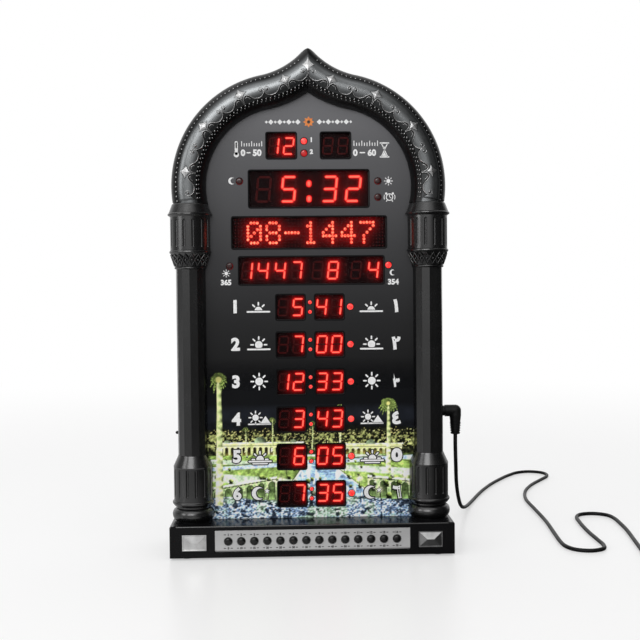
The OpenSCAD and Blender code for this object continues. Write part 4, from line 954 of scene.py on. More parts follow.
def make_collars():
    """Crossed ribs round each capital's tapering collar, with a bud in every diamond."""
    foot, low, high = 222.3, 2.6, 11.4
    count, half = 9, 180 / 9
    paths, buds = [], []

    def at(side, turn, h, lift=0.0):
        """A point of the collar at that turn in degrees and that height over its foot."""
        r, t = 12.2 + (15.4 - 12.2) * (h - 2.1) / (11.9 - 2.1) + lift, radians(turn)
        return side * COLUMN_X + r * cos(t), FACE_Y + r * sin(t), foot + h

    for side in (-1, 1):
        for i in range(-1, count + 1):
            for way in (-1, 1):
                rib = [(180 + half * (i + 0.5) + way * half * ((h - low) / (high - low) - 0.5), h)
                       for h in np.linspace(low, high, 9)]
                path = [at(side, turn, h, 0.05) for turn, h in rib if 180 <= turn <= 360]
                if len(path) > 2:
                    paths.append(path)
        buds += [at(side, 180 + half * i, (low + high) / 2) for i in range(1, count)]
    for name, source, build, radius in (("collar_ribs", lines(paths), rib_tree, 0.55),
                                        ("collar_buds", (buds, []), dot_tree, 1.0)):
        grow(name, source, build, "moulding_black", Radius=radius * MM, Finish=moulding_black)


make_collars()


# ---------- numbers behind the filter ----------

SLANT = tan(radians(6))
# The seven bars' ends in half widths and half heights, and the bars that make each digit
BARS = {"a": ((-1, 1), (1, 1)), "b": ((1, 1), (1, 0)), "c": ((1, 0), (1, -1)), "d": ((-1, -1), (1, -1)),
        "e": ((-1, 0), (-1, -1)), "f": ((-1, 1), (-1, 0)), "g": ((-1, 0), (1, 0))}
LIT = {"0": "abcdef", "1": "bc", "2": "abged", "3": "abgcd", "4": "fgbc", "5": "afgcd", "6": "afgecd", "7": "abc",
       "8": "abcdefg", "9": "abcfgd", " ": ""}


def digit_bars(x, z, w, h, r, glyph):
    """The seven bars of one slanted digit about (x, z): (start, end, is lit)."""
    found = []
    for name, (a, b) in BARS.items():
        a, b = ((x + px * w / 2 + pz * h / 2 * SLANT, z + pz * h / 2) for px, pz in (a, b))
        way = np.subtract(b, a) / np.hypot(*np.subtract(b, a))
        gap = r * 1.15
        found.append((tuple(a + way * gap), tuple(np.subtract(b, way * gap)), name in LIT[glyph]))
    return found


# Each window's text, the digits' places from its middle, their width and height, and the bars' radius
DIGITS = [("thermometer", "12", [-5.9, 5.8], 7.0, 12.4, 0.85), ("timer", "  ", [-5.9, 5.8], 7.0, 12.4, 0.85),
          ("clock", " 532", [-35.4, -15.8, 16.3, 35.0], 10.0, 19.0, 1.22),
          ("date", "1447 8 4", [-50.5, -38.1, -24.6, -11.6, 4.9, 17.0, 35.2, 48.7], 7.2, 13.2, 0.9)]
TIMES = ["5:41", "7:00", "12:33", "3:43", "6:05", "7:35"]
for i, time in enumerate(TIMES):
    hours, minutes = time.split(":")
    for part, side, xs in ((hours.rjust(2), "left", [-5.85, 5.7]), (minutes, "right", [-6.1, 5.6])):
        DIGITS.append((f"row_{i + 1}_{side}", part, xs, 7.1, 12.9, 0.88))

MATRIX_TEXT = "08-1447"
# Each sign's seven rows of five dots
DOTS = {"0": "01110 10001 10011 10101 11001 10001 01110", "1": "00100 01100 00100 00100 00100 00100 01110",
        "4": "00010 00110 01010 10010 11111 00010 00010", "7": "11111 00001 00010 00100 01000 01000 01000",
        "8": "01110 10001 10001 01110 10001 10001 01110", "-": "00000 00000 00000 11111 00000 00000 00000"}


def make_numbers():
    """Lit and unlit bars and dots of all the number modules, and their painted glow."""
    y = MODULE_FRONT - 0.02
    lit, ghost = Heap(), Heap()
    glow = {name: [] for name in WINDOWS}
    for name, text, places, w, h, r in DIGITS:
        cx, cz = WINDOWS[name][:2]
        for glyph, dx in zip(text, places):
            for a, b, on in digit_bars(cx + dx, cz, w, h, r, glyph):
                (lit if on else ghost).bar(a, b, r if on else r * 0.72, y - (0.09 if on else 0.04), y)
                if on:
                    glow[name].append((a, b))
            if name in ("clock", "thermometer"):  # the points of these modules
                ghost.disc(cx + dx + w / 2 + 0.95 - SLANT * h / 2 + 0.6, cz - h / 2 + 0.1, 0.5, y - 0.04, y, 10)
    for z in (288.8, 276.9):  # the colon of the clock
        dot = ((0.15, z - 0.7), (0.15, z + 0.7))
        lit.bar(*dot, 2.2, y - 0.09, y, 9)
        glow["clock"].append(dot)
    for z in (225.0, 217.3):
        ghost.disc(1.5 + 26.9, z, 1.0, y - 0.04, y, 12)
    lit.done("lit_bars", segment_lit, "light_red", core=lit.values)
    ghost.done("unlit_bars", segment_dark, "light_red")
    # the dot matrix
    columns, rows, px, pz = 48, 9, 2.46, 2.6
    cx, cz = WINDOWS["matrix"][:2]
    on = set()
    for g, glyph in enumerate(MATRIX_TEXT):
        for row, line in enumerate(DOTS[glyph].split()):
            on |= {(4 + 6 * g + col, row + 1) for col, mark in enumerate(line) if mark == "1"}
    place = lambda c, r: (cx + (c - (columns - 1) / 2) * px, y + 0.25, cz - (r - (rows - 1) / 2) * pz)
    every = [(c, r) for c in range(columns) for r in range(rows)]
    for name, chosen, radius, finish in (
            ("lit_dots", [p for p in every if p in on], 1.26, dot_lit),
            ("unlit_dots", [p for p in every if p not in on], 0.62, segment_dark)):
        grow(name, ([place(*p) for p in chosen], []), dot_tree, "light_red", Radius=radius * MM, Finish=finish)
    glow["matrix"] = [(place(*p)[::2], place(*p)[::2]) for p in on]
    # the painted glow on the modules' faces: emission round the lit bars standing in for their spilled light
    field = Heap()
    for name, (cx, cz, w, h) in WINDOWS.items():
        gx, gz = np.meshgrid(*(np.linspace(c - size / 2 - 0.3, c + size / 2 + 0.3, int(size / 0.6))
                               for c, size in ((cx, w), (cz, h))))
        light = np.zeros_like(gx)
        gain, wide = {"matrix": (1.7, 1.2), "clock": (1.3, 1.6)}.get(name, (1.0, 1.6))
        for bar in glow[name]:
            d = away(gx, gz, bar)[0]
            light += gain * (0.55 * np.exp(-(d / wide) ** 2) + 0.075 * np.exp(-(d / 4.0) ** 1.5))
        field.add([(a, MODULE_FRONT - 0.01, c) for a, c in zip(gx.ravel(), gz.ravel())],
                  bands(*gx.shape, closed=False), np.clip(light, 0, 0.75).ravel())
    field.done("module_glow", glow_field, "module_black", glow=field.values)


make_numbers()


# ---------- lamps, rims and bezels ----------

def make_rims():
    """Black frames round the windows and dark rings round the lamps."""
    rims = Heap()
    for cx, cz, w, h in WINDOWS.values():
        # how far outside the window, where in depth, and the corner's radius
        rings = [(0.45, FACE_Y - 0.05, 2.0), (0.35, FACE_Y - 0.3, 1.9), (-0.35, FACE_Y - 0.3, 1.5),
                 (-0.75, FACE_Y - 0.05, 1.2), (-0.75, MODULE_FRONT - 0.8, 1.2), (-0.1, MODULE_FRONT - 0.75, 1.6)]
        outline = [[(x, y, z) for x, z in rounded(cx, cz, w + 2 * d, h + 2 * d, r)] for d, y, r in rings]
        rims.add(sum(outline, []), bands(len(rings), len(outline[0]), flip=True))
    rims.done("window_rims", black_gloss, "black_gloss")
    bezels, n = Heap(), 24
    rings = [(0.55, -0.04), (0.4, -0.16), (0.12, -0.16), (0.08, 0.4)]
    for x, z, r in lamp_holes():
        bezels.add([(px, FACE_Y + dy, pz) for dr, dy in rings for px, pz in circle(x, z, r + dr, around(n))],
                   bands(len(rings), n, flip=True))
    bezels.done("lamp_bezels", black_satin, "black_satin", smooth=True)


def make_lamps():
    """Domed lamp heads over the CAD lamps, each in its own state."""
    finishes = {"lit": light_lit, "dim": light_dim, "dark": light_dark}
    heads = {state: Heap() for state in finishes}
    states = ["lit"] * 7 + ["dim", "dark", "dark", "dark", "dark", "lit"] + ["lit"] * len(COLONS)
    for (x, z, r), state in zip(lamp_holes(-0.08), states):
        heads[state].add(*dome(x, z, r, FACE_Y + 0.1, 0.42 * r / 2.4, 16))
    for state, finish in finishes.items():
        heads[state].done("lamp_heads_" + state, finish, "light_red", smooth=True)


make_rims()
make_lamps()


# ---------- the printed picture: a garden with a pool by night ----------

def value_noise(x, z, size, seed):
    """Smooth noise from 0 to 1 with features of that size in millimetres."""
    table = np.random.default_rng(seed).random((64, 64))
    u, v = x / size + 200.0, z / size + 200.0
    i, j = np.floor(u).astype(int), np.floor(v).astype(int)
    fu, fv = u - i, v - j
    fu, fv = fu * fu * (3 - 2 * fu), fv * fv * (3 - 2 * fv)
    at = lambda a, b: table[(i + a) % 64, (j + b) % 64]
    return (at(0, 0) * (1 - fu) * (1 - fv) + at(1, 0) * fu * (1 - fv) + at(0, 1) * (1 - fu) * fv
            + at(1, 1) * fu * fv)


def cloud(x, z, size, seed):
    """Four layers of smooth noise, each half the size of the last."""
    return sum(value_noise(x, z, size / 2 ** k, seed + k) / 2 ** (k + 1) for k in range(4)) / 0.9375


def garden(x, z):
    """Colour of the picture at (x, z): night sky, lamps, arcades, lawns, a long pool and a stone terrace."""
    step = lambda v, a, b: np.clip((v - a) / (b - a), 0, 1)
    colour = np.zeros(x.shape + (3,))

    def lay(mask, rgb, tone=1.0):
        """Puts a colour, times its tone, over what is there."""
        m = np.asarray(mask, float)[..., None]
        colour[...] = colour * (1 - m) + np.asarray(rgb, float) * np.asarray(tone)[..., None] * m

    fine, mid = cloud(x, z, 1.6, 7), cloud(x, z, 6, 17)
    # night sky over a band of haze
    lay(np.ones_like(x), [0.004, 0.0044, 0.005])
    lay(step(z, 116, 96) * 0.9, [0.035, 0.042, 0.055], 0.5 + mid)
    hills = 98 + 2.5 * np.sin(x / 27 + 1) + 1.2 * np.sin(x / 9)
    lay(step(hills - z, 0, 0.8), [0.03, 0.036, 0.02], 0.3 + 1.2 * fine)
    # the town far away: dark roofs and many lamps
    trees = 94 + 2.4 * value_noise(x, z * 0, 4, 11) + 2 * value_noise(x, z * 0, 1.6, 12)
    lay(step(trees - z, 0, 0.5), [0.075, 0.085, 0.03], 0.1 + 2.2 * fine ** 2)
    lamps = step(value_noise(x, z * 1.6, 1.0, 31), 0.78, 0.9) * step(z, 80, 84) * step(trees - z, 0, 0.6)
    lay(lamps, [1.0, 0.88, 0.3])
    lay(step(fine + 0.5 * mid, 0.72, 0.95) * step(trees - z, 2, 4) * step(z, 76, 84), [0.62, 0.66, 0.2])
    # lit arcades on both sides
    for x0, half, low, high in ((-40, 33, 73, 85.5), (47, 25, 74, 83.5)):
        hall = (np.abs(x - x0) < half) & (z > low) & (z < high)
        wash = 0.45 + 0.75 * (z - low) / (high - low) + 0.5 * (fine - 0.5)
        lay(hall, [0.72, 0.78, 0.27], wash)
        bay = np.abs((x - x0 + half) % 4.4 - 2.2)
        gap = hall & (bay < 1.25) & (z < high - 4.6 + np.sqrt(np.clip(1.25 ** 2 - bay ** 2, 0, None)))
        lay(gap, [0.5, 0.4, 0.08], np.clip(1.1 - (z - low) / 6, 0.12, 1))
        lay((np.abs(x - x0) < half + 1) & (np.abs(z - high) < 0.6), [0.9, 0.96, 0.55])
        lay((np.abs(x - x0) < half + 1) & (np.abs(z - high + 2.2) < 0.25), [0.3, 0.34, 0.1])
    for x0, r in ((-40, 5.0), (47, 3.6), (-66, 2.4), (-14, 2.4)):
        high = 85.8 if x0 < 0 else 83.8
        dome = (np.hypot(x - x0, (z - high) * 1.1) < r) & (z > high)
        lay(dome, [0.5, 0.66, 0.34], np.clip(0.7 - 0.09 * (x - x0) - 0.04 * (z - high), 0.15, 1.3))
    # lawns in perspective with pale paths
    depth = 1 / np.clip(104 - z, 4, None)
    ground = step(76 - z, 0, 0.6)
    turf = cloud(x * 34 * depth, 700 * depth, 3, 51)
    lay(ground, [0.34, 0.5, 0.1], 0.25 + 1.3 * turf * (0.6 + 0.8 * fine))
    bands = step(np.sin(760 * depth + 0.035 * x), 0.2, 0.55) * ground
    lay(bands, [0.62, 0.78, 0.46], 0.55 + 0.7 * mid * (0.5 + fine))
    lay(step(1.7 - np.abs(z - 69 - 0.05 * x), 0, 0.6) * ground, [0.5, 0.62, 0.8], 0.5 + 0.9 * fine)
    lay(step(0.45 - np.abs(z - 71.2 - 0.05 * x), 0, 0.3) * ground, [0.05, 0.07, 0.03])
    # the pool narrows to the back and mirrors the lamps
    wide = 6 + (72 - z) * 1.0
    off = np.abs(x - 4 - (72 - z) * 0.3)
    pool = step(wide - off, 0, 0.8) * step(71.5 - z, 0, 0.6) * step(z, 40, 41)
    ends = step(71.5 - z, 0, 0.6) * step(z, 39.5, 40.5)
    ripple = cloud(x * 0.5, z * 2.6, 3, 71)
    lay(pool, [0.3, 0.46, 0.62], 0.2 + 1.5 * ripple)
    lay(step(value_noise(x, z * 0.3, 1.8, 72), 0.6, 0.8) * pool * 0.9, [0.9, 1.0, 0.7])
    lay(step(1.0 - np.abs(wide - off), 0, 0.4) * ends, [0.85, 0.95, 0.66])
    lay(step(0.4 - np.abs(wide + 1.5 - off), 0, 0.2) * ends, [0.03, 0.05, 0.02])
    # garden walls with niches at the left and right
    for side, x0, slope, low in ((-1, -27, 0.16, 38), (1, 44, -0.1, 37)):
        top = 59 + slope * (x - x0) * (1 if side < 0 else 1)
        wall = (side * (x - x0) > 0) & (z > low) & (z < top)
        lay(wall, [0.5, 0.66, 0.26], np.clip(0.35 + 0.9 * (z - low) / 20 + 0.7 * (fine - 0.5), 0.1, 1.4))
        lay(wall & (z > top - 1.6), [0.86, 0.98, 0.62], 0.7 + 0.5 * fine)
        lay(wall & (np.abs(z - top + 2.3) < 0.35), [0.04, 0.06, 0.02])
        bay = np.abs((x - x0) % 8.6 - 4.3)
        niche = wall & (bay < 2.7) & (z < top - 6 + np.sqrt(np.clip(7.3 - bay ** 2, 0, None))) & (z > low + 2.5)
        lay(niche, [0.16, 0.25, 0.07], 0.3 + 1.4 * np.clip((low + 9 - z) / 7, 0, 1) + fine)
        lay(niche & (bay > 2.25), [0.04, 0.06, 0.02])
    # clipped shrubs, lit from one side
    shrubs = np.random.default_rng(5)
    for _ in range(70):
        sx, sz = shrubs.uniform(-82, 82), shrubs.uniform(42, 75)
        r = 0.7 + (77 - sz) * 0.05 * shrubs.uniform(0.6, 1.4)
        d = np.hypot(x - sx, (z - sz) * 1.1) / r
        leaf = [0.5, 0.68, 0.14] if shrubs.random() < 0.6 else [0.75, 0.85, 0.5]
        shade = np.clip(0.3 + 0.7 * (z - sz) / r + 0.35 * (x - sx) / r + fine - 0.5, 0.03, 1.3)
        lay(step(1.0 - d + 0.5 * (fine - 0.5), 0, 0.15), leaf, shade)
        lay(step(1.1 - np.hypot((x - sx) / r, (z - sz + 0.9 * r) * 4 / r), 0, 0.3) * 0.8, [0.01, 0.02, 0.01])
    # stone terrace in front, scattered with pale slabs and dark gaps
    front = step(41.5 + 1.8 * np.sin(x / 15) + 1.4 * (mid - 0.5) - z, 0, 1.0)
    slabs, grain = value_noise(x, z * 1.5, 1.25, 101), value_noise(x, z * 1.3, 0.7, 104)
    tone = 0.08 + 1.1 * slabs ** 1.5 + 0.5 * (grain - 0.4)
    lay(front, [0.4, 0.58, 0.82], np.clip(tone, 0.02, 1.4))
    lay(front * step(slabs, 0.7, 0.82) * 0.9, [0.85, 0.95, 0.98])
    lay(front * step(cloud(x, z, 8, 103), 0.54, 0.66) * 0.7, [0.5, 0.72, 0.34], 0.2 + slabs)
    lay(front * step(cloud(x, z * 1.4, 5, 107), 0.6, 0.66) * 0.9, [0.012, 0.022, 0.04])
    # tall lit palms, two near and four far
    fronds = np.random.default_rng(11)
    for px, foot, top, r, crown in ((-72.8, 36, 138, 2.3, 8.2), (60.5, 60, 117, 1.5, 7.6), (-31, 78, 104, 0.6, 3.6),
                                    (22.5, 76, 113, 0.75, 5.0), (0.5, 78, 101, 0.5, 3.2), (-52, 78, 97, 0.5, 2.8)):
        lean = px + 0.8 * np.sin((z - foot) / (top - foot) * 2.4)
        girth = r * (1.45 - 0.75 * (z - foot) / (top - foot))
        trunk = step(girth - np.abs(x - lean), 0, 0.3) * (z > foot) * (z < top)
        bark = 0.95 + 0.3 * np.sin(z * 2.2 / r) - 0.5 * (x - lean) / girth + 0.5 * (fine - 0.5)
        lay(trunk, [0.8, 0.92, 0.34], np.clip(bark, 0.1, 1.3))
        tx = px + 0.8 * sin(2.4)
        near = (np.abs(x - tx) < crown * 1.3) & (np.abs(z - top) < crown * 1.6)
        gx, gz = x[near], z[near]
        for k in range(17):
            turn, long = radians(-65 + 310 * k / 16 + fronds.uniform(-7, 7)), crown * fronds.uniform(0.75, 1.1)
            t = np.linspace(0, 1, 8)
            path = list(zip(tx + long * cos(turn) * t, top + long * (sin(turn) * t - 0.75 * t * t)))
            gap, along = away(gx, gz, path)
            blade = step(crown * 0.13 * np.sin(np.pi * np.clip(along * 0.9 + 0.1, 0, 1)) - gap, 0, 0.22)
            comb = 0.55 + 0.45 * np.sin(along * long * 5.5 + gap * 4)
            light, mask = np.zeros(x.shape), np.zeros(x.shape)
            light[near], mask[near] = comb * (0.35 + 0.8 * along) * fronds.uniform(0.6, 1.2), blade
            lay(mask, [0.55, 0.75, 0.16], light)
        lay(step(r * 1.1 - np.hypot(x - tx, z - top + r), 0, 0.4), [0.9, 0.85, 0.25])
    # lamps on posts along the pool
    for lx, lz in ((-20, 66), (-24, 56), (26, 66), (38, 56), (54, 47), (-12, 72), (16, 72), (-60, 47), (74, 58)):
        lay(step(0.3 - np.abs(x - lx), 0, 0.15) * (z > lz - 6) * (z < lz), [0.03, 0.04, 0.03])
        d = np.hypot(x - lx, z - lz)
        lay(np.exp(-(d / 2.2) ** 2) * 0.85, [1.0, 1.0, 0.55])
    # fine detail, dimmer towards the horizon, and a clearer light at the foot
    detail = 0.5 * value_noise(x, z * 1.2, 1.15, 201) + 0.5 * value_noise(x, z, 2.6, 202)
    gain = (0.45 + 1.5 * detail ** 1.5) * (1 - 0.45 * step(z, 79, 90)) * (1 + 0.8 * step(z, 42, 28))
    lit = step(z, 112, 100)
    gain = gain * np.clip(0.25 + 2.0 * colour.max(-1), 0.25, 1.7)
    colour = colour * (gain * lit + 1 - lit)[..., None] * [1.06, 1.08, 1.22]
    return np.clip(colour, 0, 0.98)


def make_picture():
    """A fine grid of printed colour, open at the windows and lamps."""
    low, high, half, cell = PLINTH_TOP + 0.1, 152.0, 82.6, 0.5

    def marks(a, b, fixed):
        """Grid lines from a to b, one at each fixed place and the rest about a cell apart."""
        stops = sorted({a, b, *[f for f in fixed if a < f < b]})
        found = [a]
        for p, q in zip(stops, stops[1:]):
            found += list(np.linspace(p, q, max(1, round((q - p) / cell)) + 1)[1:])
        return np.array(found)

    holes = [(cx, cz, w, h) for cx, cz, w, h in WINDOWS.values() if cz - h / 2 < high]
    xs = marks(-half, half, {round(cx + s * w / 2, 4) for cx, cz, w, h in holes for s in (-1, 1)})
    zs = marks(low, high, {round(cz + s * h / 2, 4) for cx, cz, w, h in holes for s in (-1, 1)})
    gx, gz = np.meshgrid(xs, zs)
    for x, z, r in [lamp for lamp in lamp_holes(0.1) if lamp[1] < high]:
        d = np.hypot(gx - x, gz - z)
        ring = (np.abs(d - r) < cell * 0.55) & (d > 0.1)
        gx[ring], gz[ring] = (x + (gx - x) * r / d)[ring], (z + (gz - z) * r / d)[ring]
    colour = garden(gx, gz)
    m, n = gx.shape
    mx, mz = (gx[:-1, :-1] + gx[1:, 1:]) / 2, (gz[:-1, :-1] + gz[1:, 1:]) / 2
    keep = np.ones_like(mx, bool)
    for cx, cz, w, h in holes:
        keep &= ~((np.abs(mx - cx) < w / 2) & (np.abs(mz - cz) < h / 2))
    for x, z, r in lamp_holes(0.1):
        keep &= np.hypot(mx - x, mz - z) > r - 0.12
    faces = [(i * n + k, i * n + k + 1, (i + 1) * n + k + 1, (i + 1) * n + k)
             for i, k in zip(*np.nonzero(keep))]
    fade = np.clip((high - gz) / 26, 0, 1)
    colour = np.concatenate([colour, np.ones(gx.shape + (1,))], 2).reshape(-1, 4)
    piece("garden_picture", list(zip(gx.ravel(), np.full(gx.size, FACE_Y - 0.03), gz.ravel())), faces, panel_picture,
          "panel_print", fade=fade.ravel(), print=colour)


make_picture()


# ---------- printed marks ----------

INK_Y = FACE_Y - 0.09  # the marks' raised face


class Print(Heap):
    """Thin raised marks in one ink, facing the front."""

    def text(self, text, x, z, size, bold=0.05, y=INK_Y):
        """Numbers in the plain default face, centred on (x, z), that many millimetres high."""
        curve = bpy.data.curves.new("mark", "FONT")
        curve.body, curve.size, curve.bevel_depth, curve.bevel_resolution, curve.resolution_u = text, 1.0, bold, 0, 3
        made = bpy.data.objects.new("mark", curve)
        scene.collection.objects.link(made)
        mesh = bpy.data.meshes.new_from_object(made.evaluated_get(bpy.context.evaluated_depsgraph_get()))
        bpy.data.objects.remove(made)
        co = np.zeros(len(mesh.vertices) * 3)
        mesh.vertices.foreach_get("co", co)
        co = co.reshape(-1, 3)
        low, high = co.min(0), co.max(0)
        scale, middle = size / (high[1] - low[1]), (low + high) / 2
        self.add([(x + (c[0] - middle[0]) * scale, y - 0.02 * c[2] / bold, z + (c[1] - middle[1]) * scale)
                  for c in co], [tuple(p.vertices) for p in mesh.polygons])
        bpy.data.meshes.remove(mesh)

    def ring(self, x, z, r0, r1, y=INK_Y, sides=28, start=0, stop=360):
        """A flat ring, or part of one, between two radii."""
        turns = np.radians(np.linspace(start, stop, sides + 1))
        points = [(x + r * cos(t), y, z + r * sin(t)) for t in turns for r in (r0, r1)]
        self.add(points, [(2 * i, 2 * i + 1, 2 * i + 3, 2 * i + 2) for i in range(sides)])

    def shape(self, outline, y=INK_Y):
        self.add([(x, y, z) for x, z in outline], [range(len(outline))])

    def stroke(self, path, r, y=INK_Y):
        for a, b in zip(path, path[1:]):
            self.shape(capsule(a, b, r, 6), y)


def sun(ink, x, z, r, y=INK_Y, low=-1e9, wider=0.0):
    """A sun with eight rays, which hides what is below that height."""
    ink.shape([(px, max(low - wider, pz)) for px, pz in circle(x, z, r + wider, around(24))], y)
    for t in around(8) + pi / 2:
        a, b = (circle(x, z, reach * r, [t])[0] for reach in (1.45, 2.05))
        if a[1] > low + 0.3 and b[1] > low + 0.2:
            ink.stroke([a, b], 0.2 * r + wider, y)


def crescent(ink, x, z, r, y=INK_Y, wider=0.0):
    """A moon: faces between its two arcs keep the shape whole."""
    outer = circle(x, z, r + wider, np.linspace(0.9, 5.4, 22))
    inner = circle(x + 0.42 * r, z, 0.8 * r - wider, np.linspace(5.2, 1.1, 18))
    n, m = len(outer), len(inner)
    faces = []
    for k in range(n - 1):
        j, j2 = (n + m - 1 - round(i * (m - 1) / (n - 1)) for i in (k, k + 1))
        faces.append([k, k + 1, j2, j] if j != j2 else [k, k + 1, j])
    ink.add([(px, y, pz) for px, pz in outer + inner], faces)


def small_star(ink, x, z, r, y=INK_Y, points=5, deep=0.45, turn=90):
    """A star with that many points, as deep as that share of its radius."""
    ink.shape([circle(x, z, (r, r * deep)[k % 2], [radians(turn + 180 * k / points)])[0]
               for k in range(2 * points)], y)


def row_mark(ink, kind, x, z, y, g=0.0):
    """Where the sun stands at each of the six times, drawn about 17 mm wide and g wider all round."""
    low = z - 4.2
    if kind in (0, 1, 4):
        ink.stroke([(x - 8.6, low), (x + 8.6, low)], 0.65 + g, y)
        sun(ink, x, low + {0: 1.0, 1: 3.6, 4: 1.6}[kind], 3.0, y, low + 1.2, g)
        if kind == 4:
            ink.stroke([(x - 5.6, low - 1.8), (x + 5.6, low - 1.8)], 0.5 + g, y)
    elif kind == 2:
        sun(ink, x, z, 3.1, y, wider=g)
    elif kind == 3:
        sun(ink, x - 3.2, z + 1.0, 2.5, y, wider=g)
        ink.shape([(x + 0.2 - g, low - g), (x + 9.0 + g, low - g), (x + 4.6, z + 2.2 + 1.4 * g)], y)
        ink.stroke([(x - 8.6, low), (x + 8.6, low)], 0.55 + g, y)
    else:
        crescent(ink, x - 1.6, z, 5.2, y, g)
        small_star(ink, x + 5.2, z + 1.7, 2.2 + g, y)


EASTERN = "١٢٣٤٥٦"


def make_labels():
    """The panel's numbers and signs, in four inks."""
    white, edge, orange, dim = Print(), Print(), Print(), Print()
    for i, row_z in enumerate(ROW_Z):
        z = row_z + 0.9
        # the lower rows lie over the picture and get a dark edge
        for ink, g, y in ((white, 0.0, INK_Y), (edge, 0.85, INK_Y + 0.03))[:1 if i < 3 else 2]:
            ink.text(str(i + 1), -58.6, z, 10.4 + 2 * g, 0.05 + 0.09 * g, y)
            row_mark(ink, i, -40.4, z, y, g)
            ink.text(EASTERN[i], 67.6, z - 0.4, 10.6 + 2 * g, 0.06 + 0.09 * g, y)
            row_mark(ink, i, 48.2, z - 0.4, y, g)
    # temperature: a thermometer and its scale
    white.ring(-56.2, 311.2, 0, 2.0)
    white.stroke([(-56.2, 312), (-56.2, 320.6)], 1.2)
    dim.stroke([(-56.2, 316.6), (-56.2, 320.4)], 0.55, INK_Y - 0.04)
    # timer: an hourglass and its scale
    for s in (-1, 1):
        white.stroke([(56.2, 314.4 + 5.4 * s), (62.8, 314.4 + 5.4 * s)], 0.55)
        white.stroke([(57.1, 314.4 + 5.1 * s), (59.5, 314.4), (61.9, 314.4 + 5.1 * s)], 0.38)
    white.shape([(57.9, 309.8), (61.1, 309.8), (59.5, 312.8)])
    white.shape([(58.5, 316.9), (59.5, 315.0), (60.5, 316.9)])
    for x0, pitch, count, tall in ((-52.0, 1.95, 9, 4), (35.6, 2.05, 10, 3)):
        for k in range(count):
            white.stroke([(x0 + pitch * k, 317.9), (x0 + pitch * k, 319.9 if k % tall else 321.4)], 0.34)
    for x0, x1, z in ((-47.8, -45.6, 312.7), (40.4, 43.8, 312.4)):
        white.stroke([(x0, z), (x1, z)], 0.5)
    # the scales' ends, the two probes, and the days of the two calendars
    for text, x, z, size, bold in (
            ("0", -51.0, 312.7, 5.4, 0.05), ("50", -40.0, 312.7, 5.4, 0.05), ("0", 36.6, 312.4, 5.4, 0.05),
            ("60", 49.6, 312.4, 5.4, 0.05), ("1", 2.3, 322.6, 3.8, 0.06), ("2", 2.3, 313.4, 3.8, 0.06),
            ("365", -65.4, 211.9, 4.6, 0.05), ("354", 65.8, 211.3, 4.6, 0.05)):
        white.text(text, x, z, size, bold)
    # night and day, and the calendars' moon and sun
    crescent(white, -60.0, 290.9, 2.7)
    sun(white, 62.4, 290.2, 1.6)
    crescent(white, 65.2, 218.6, 2.3)
    sun(white, -65.2, 218.9, 1.4)
    # alarm
    white.ring(63.2, 277.6, 2.2, 2.9)
    white.stroke([(64.5, 277.0), (63.2, 277.5), (63.2, 279.3)], 0.32)
    for s in (-1, 1):
        white.ring(63.2 + 2.6 * s, 280.4, 0, 0.9, sides=12)
        white.stroke([(63.2 + 1.7 * s, 275.3), (63.2 + 2.5 * s, 274.3)], 0.32)
        middle = 90 - 90 * s
        white.ring(63.2, 277.6, 4.0, 4.6, INK_Y, 6, middle - 25, middle + 25)
    # a plain ornament at the head of the panel
    x, z = 0.3, 336.4
    small_star(orange, x, z, 4.3, INK_Y, 8, 0.66, 0)
    small_star(dim, x, z, 1.6, INK_Y - 0.03, 8, 0.66, 0)
    for s in (-1, 1):
        for k in range(8):
            cx, r = x + (8.4 + 3.5 * k) * s, (2.1, 1.2)[k % 2]
            white.shape([(cx - r, z), (cx, z - r), (cx + r, z), (cx, z + r)])
    for ink, name, finish in ((white, "panel_marks", white_ink), (edge, "panel_mark_edges", black_ink),
                              (orange, "panel_star", orange_ink), (dim, "panel_small_marks", grey_ink)):
        ink.done(name, finish, "panel_print")


make_labels()


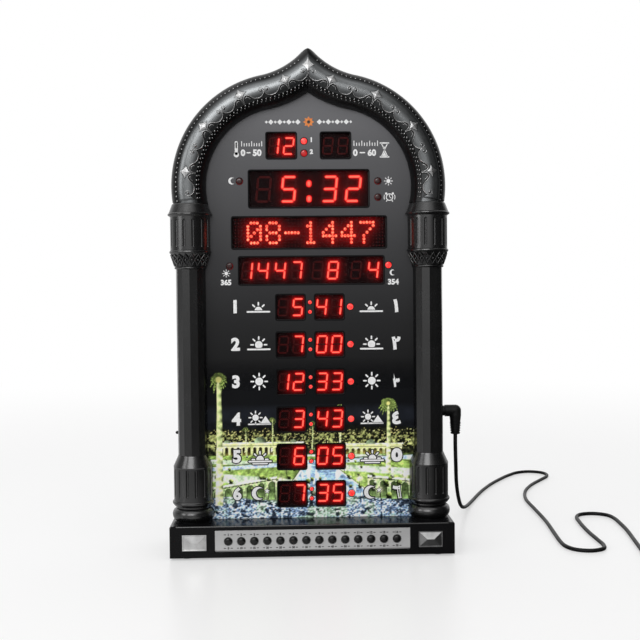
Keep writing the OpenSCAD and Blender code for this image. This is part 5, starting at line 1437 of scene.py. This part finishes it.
def make_key_marks():
    """Numbers over and under the keys with ticks beside them, and a dark ring round each key."""
    ink, rings = Print(), Print()
    y = STRIP_FRONT - 0.04
    for i, (x, z) in enumerate(KEYS):
        for text, dz, size, inner in ((i + 1, 5.1, 1.9, 1.9), ((i + 1) * 5, -5.3, 1.7, 2.1)):
            ink.text(str(text), x, z + dz, size, 0.06, y)
            for s in (-1, 1):
                ink.stroke([(x + inner * s, z + dz), (x + 3.1 * s, z + dz)], 0.3, y)
        rings.ring(x, z, 2.95, 3.35, y)
    ink.done("key_marks", black_ink, "strip_silver")
    rings.done("key_rings", grey_ink, "strip_silver", smooth=True)


def make_studs():
    """A bright frame and a low four-sided pyramid on each inlay."""
    frames, studs = Heap(), Heap()
    z, y = 13.25, STRIP_FRONT - 0.02
    for x in (-90.6, 90.6):
        # the frame's rings: width, height and place in depth
        frames.add([(x + sx * w / 2, q, z + sz * h / 2)
                    for w, h, q in ((18.6, 12.4, y), (18.4, 12.2, y - 0.25), (16.9, 10.7, y - 0.25), (16.7, 10.5, y))
                    for sx, sz in CORNERS], bands(4, 4))
        base = [(x + sx * 8.3, y, z + sz * 5.2) for sx, sz in CORNERS]
        studs.add(base + [(x - 2.6, y - 1.0, z), (x + 2.6, y - 1.0, z)],
                  [(0, 1, 5, 4), (1, 2, 5), (2, 3, 4, 5), (3, 0, 4)])
    frames.done("inlay_frames", chrome, "chrome_trim")
    studs.done("inlay_studs", chrome, "chrome_trim")


def make_plinth_edge():
    """The plinth's softly rounded front top edge."""
    half, r, front = 104.5, 0.7, -33.4
    rim = [(front + r - r * cos(t), PLINTH_TOP - r + r * sin(t)) for t in np.linspace(-0.25, 1.75, 9)]
    rim += [(front + 2 * r, PLINTH_TOP - r), (front + r, PLINTH_TOP - 2 * r)]
    n = len(rim)
    faces = [(i, (i + 1) % n, n + (i + 1) % n, n + i) for i in range(n)] + [range(n - 1, -1, -1), range(n, 2 * n)]
    weld(piece("plinth_edge", [(x, y, z) for x in (-half, half) for y, z in rim], faces, edge_gloss, "black_gloss"))


def make_key_caps():
    """A glossy dome on each key's flat end."""
    for i, (x, z) in enumerate(KEYS):
        points, faces = dome(x, z, 2.72, -34.55, 1.1, 20)
        number = f"{i + 1:02d}"
        piece("key_cap_" + number, points, faces + [range(19, -1, -1)], key_black, "key_black", "key_" + number, True)


make_key_marks()
make_studs()
make_plinth_edge()
make_key_caps()
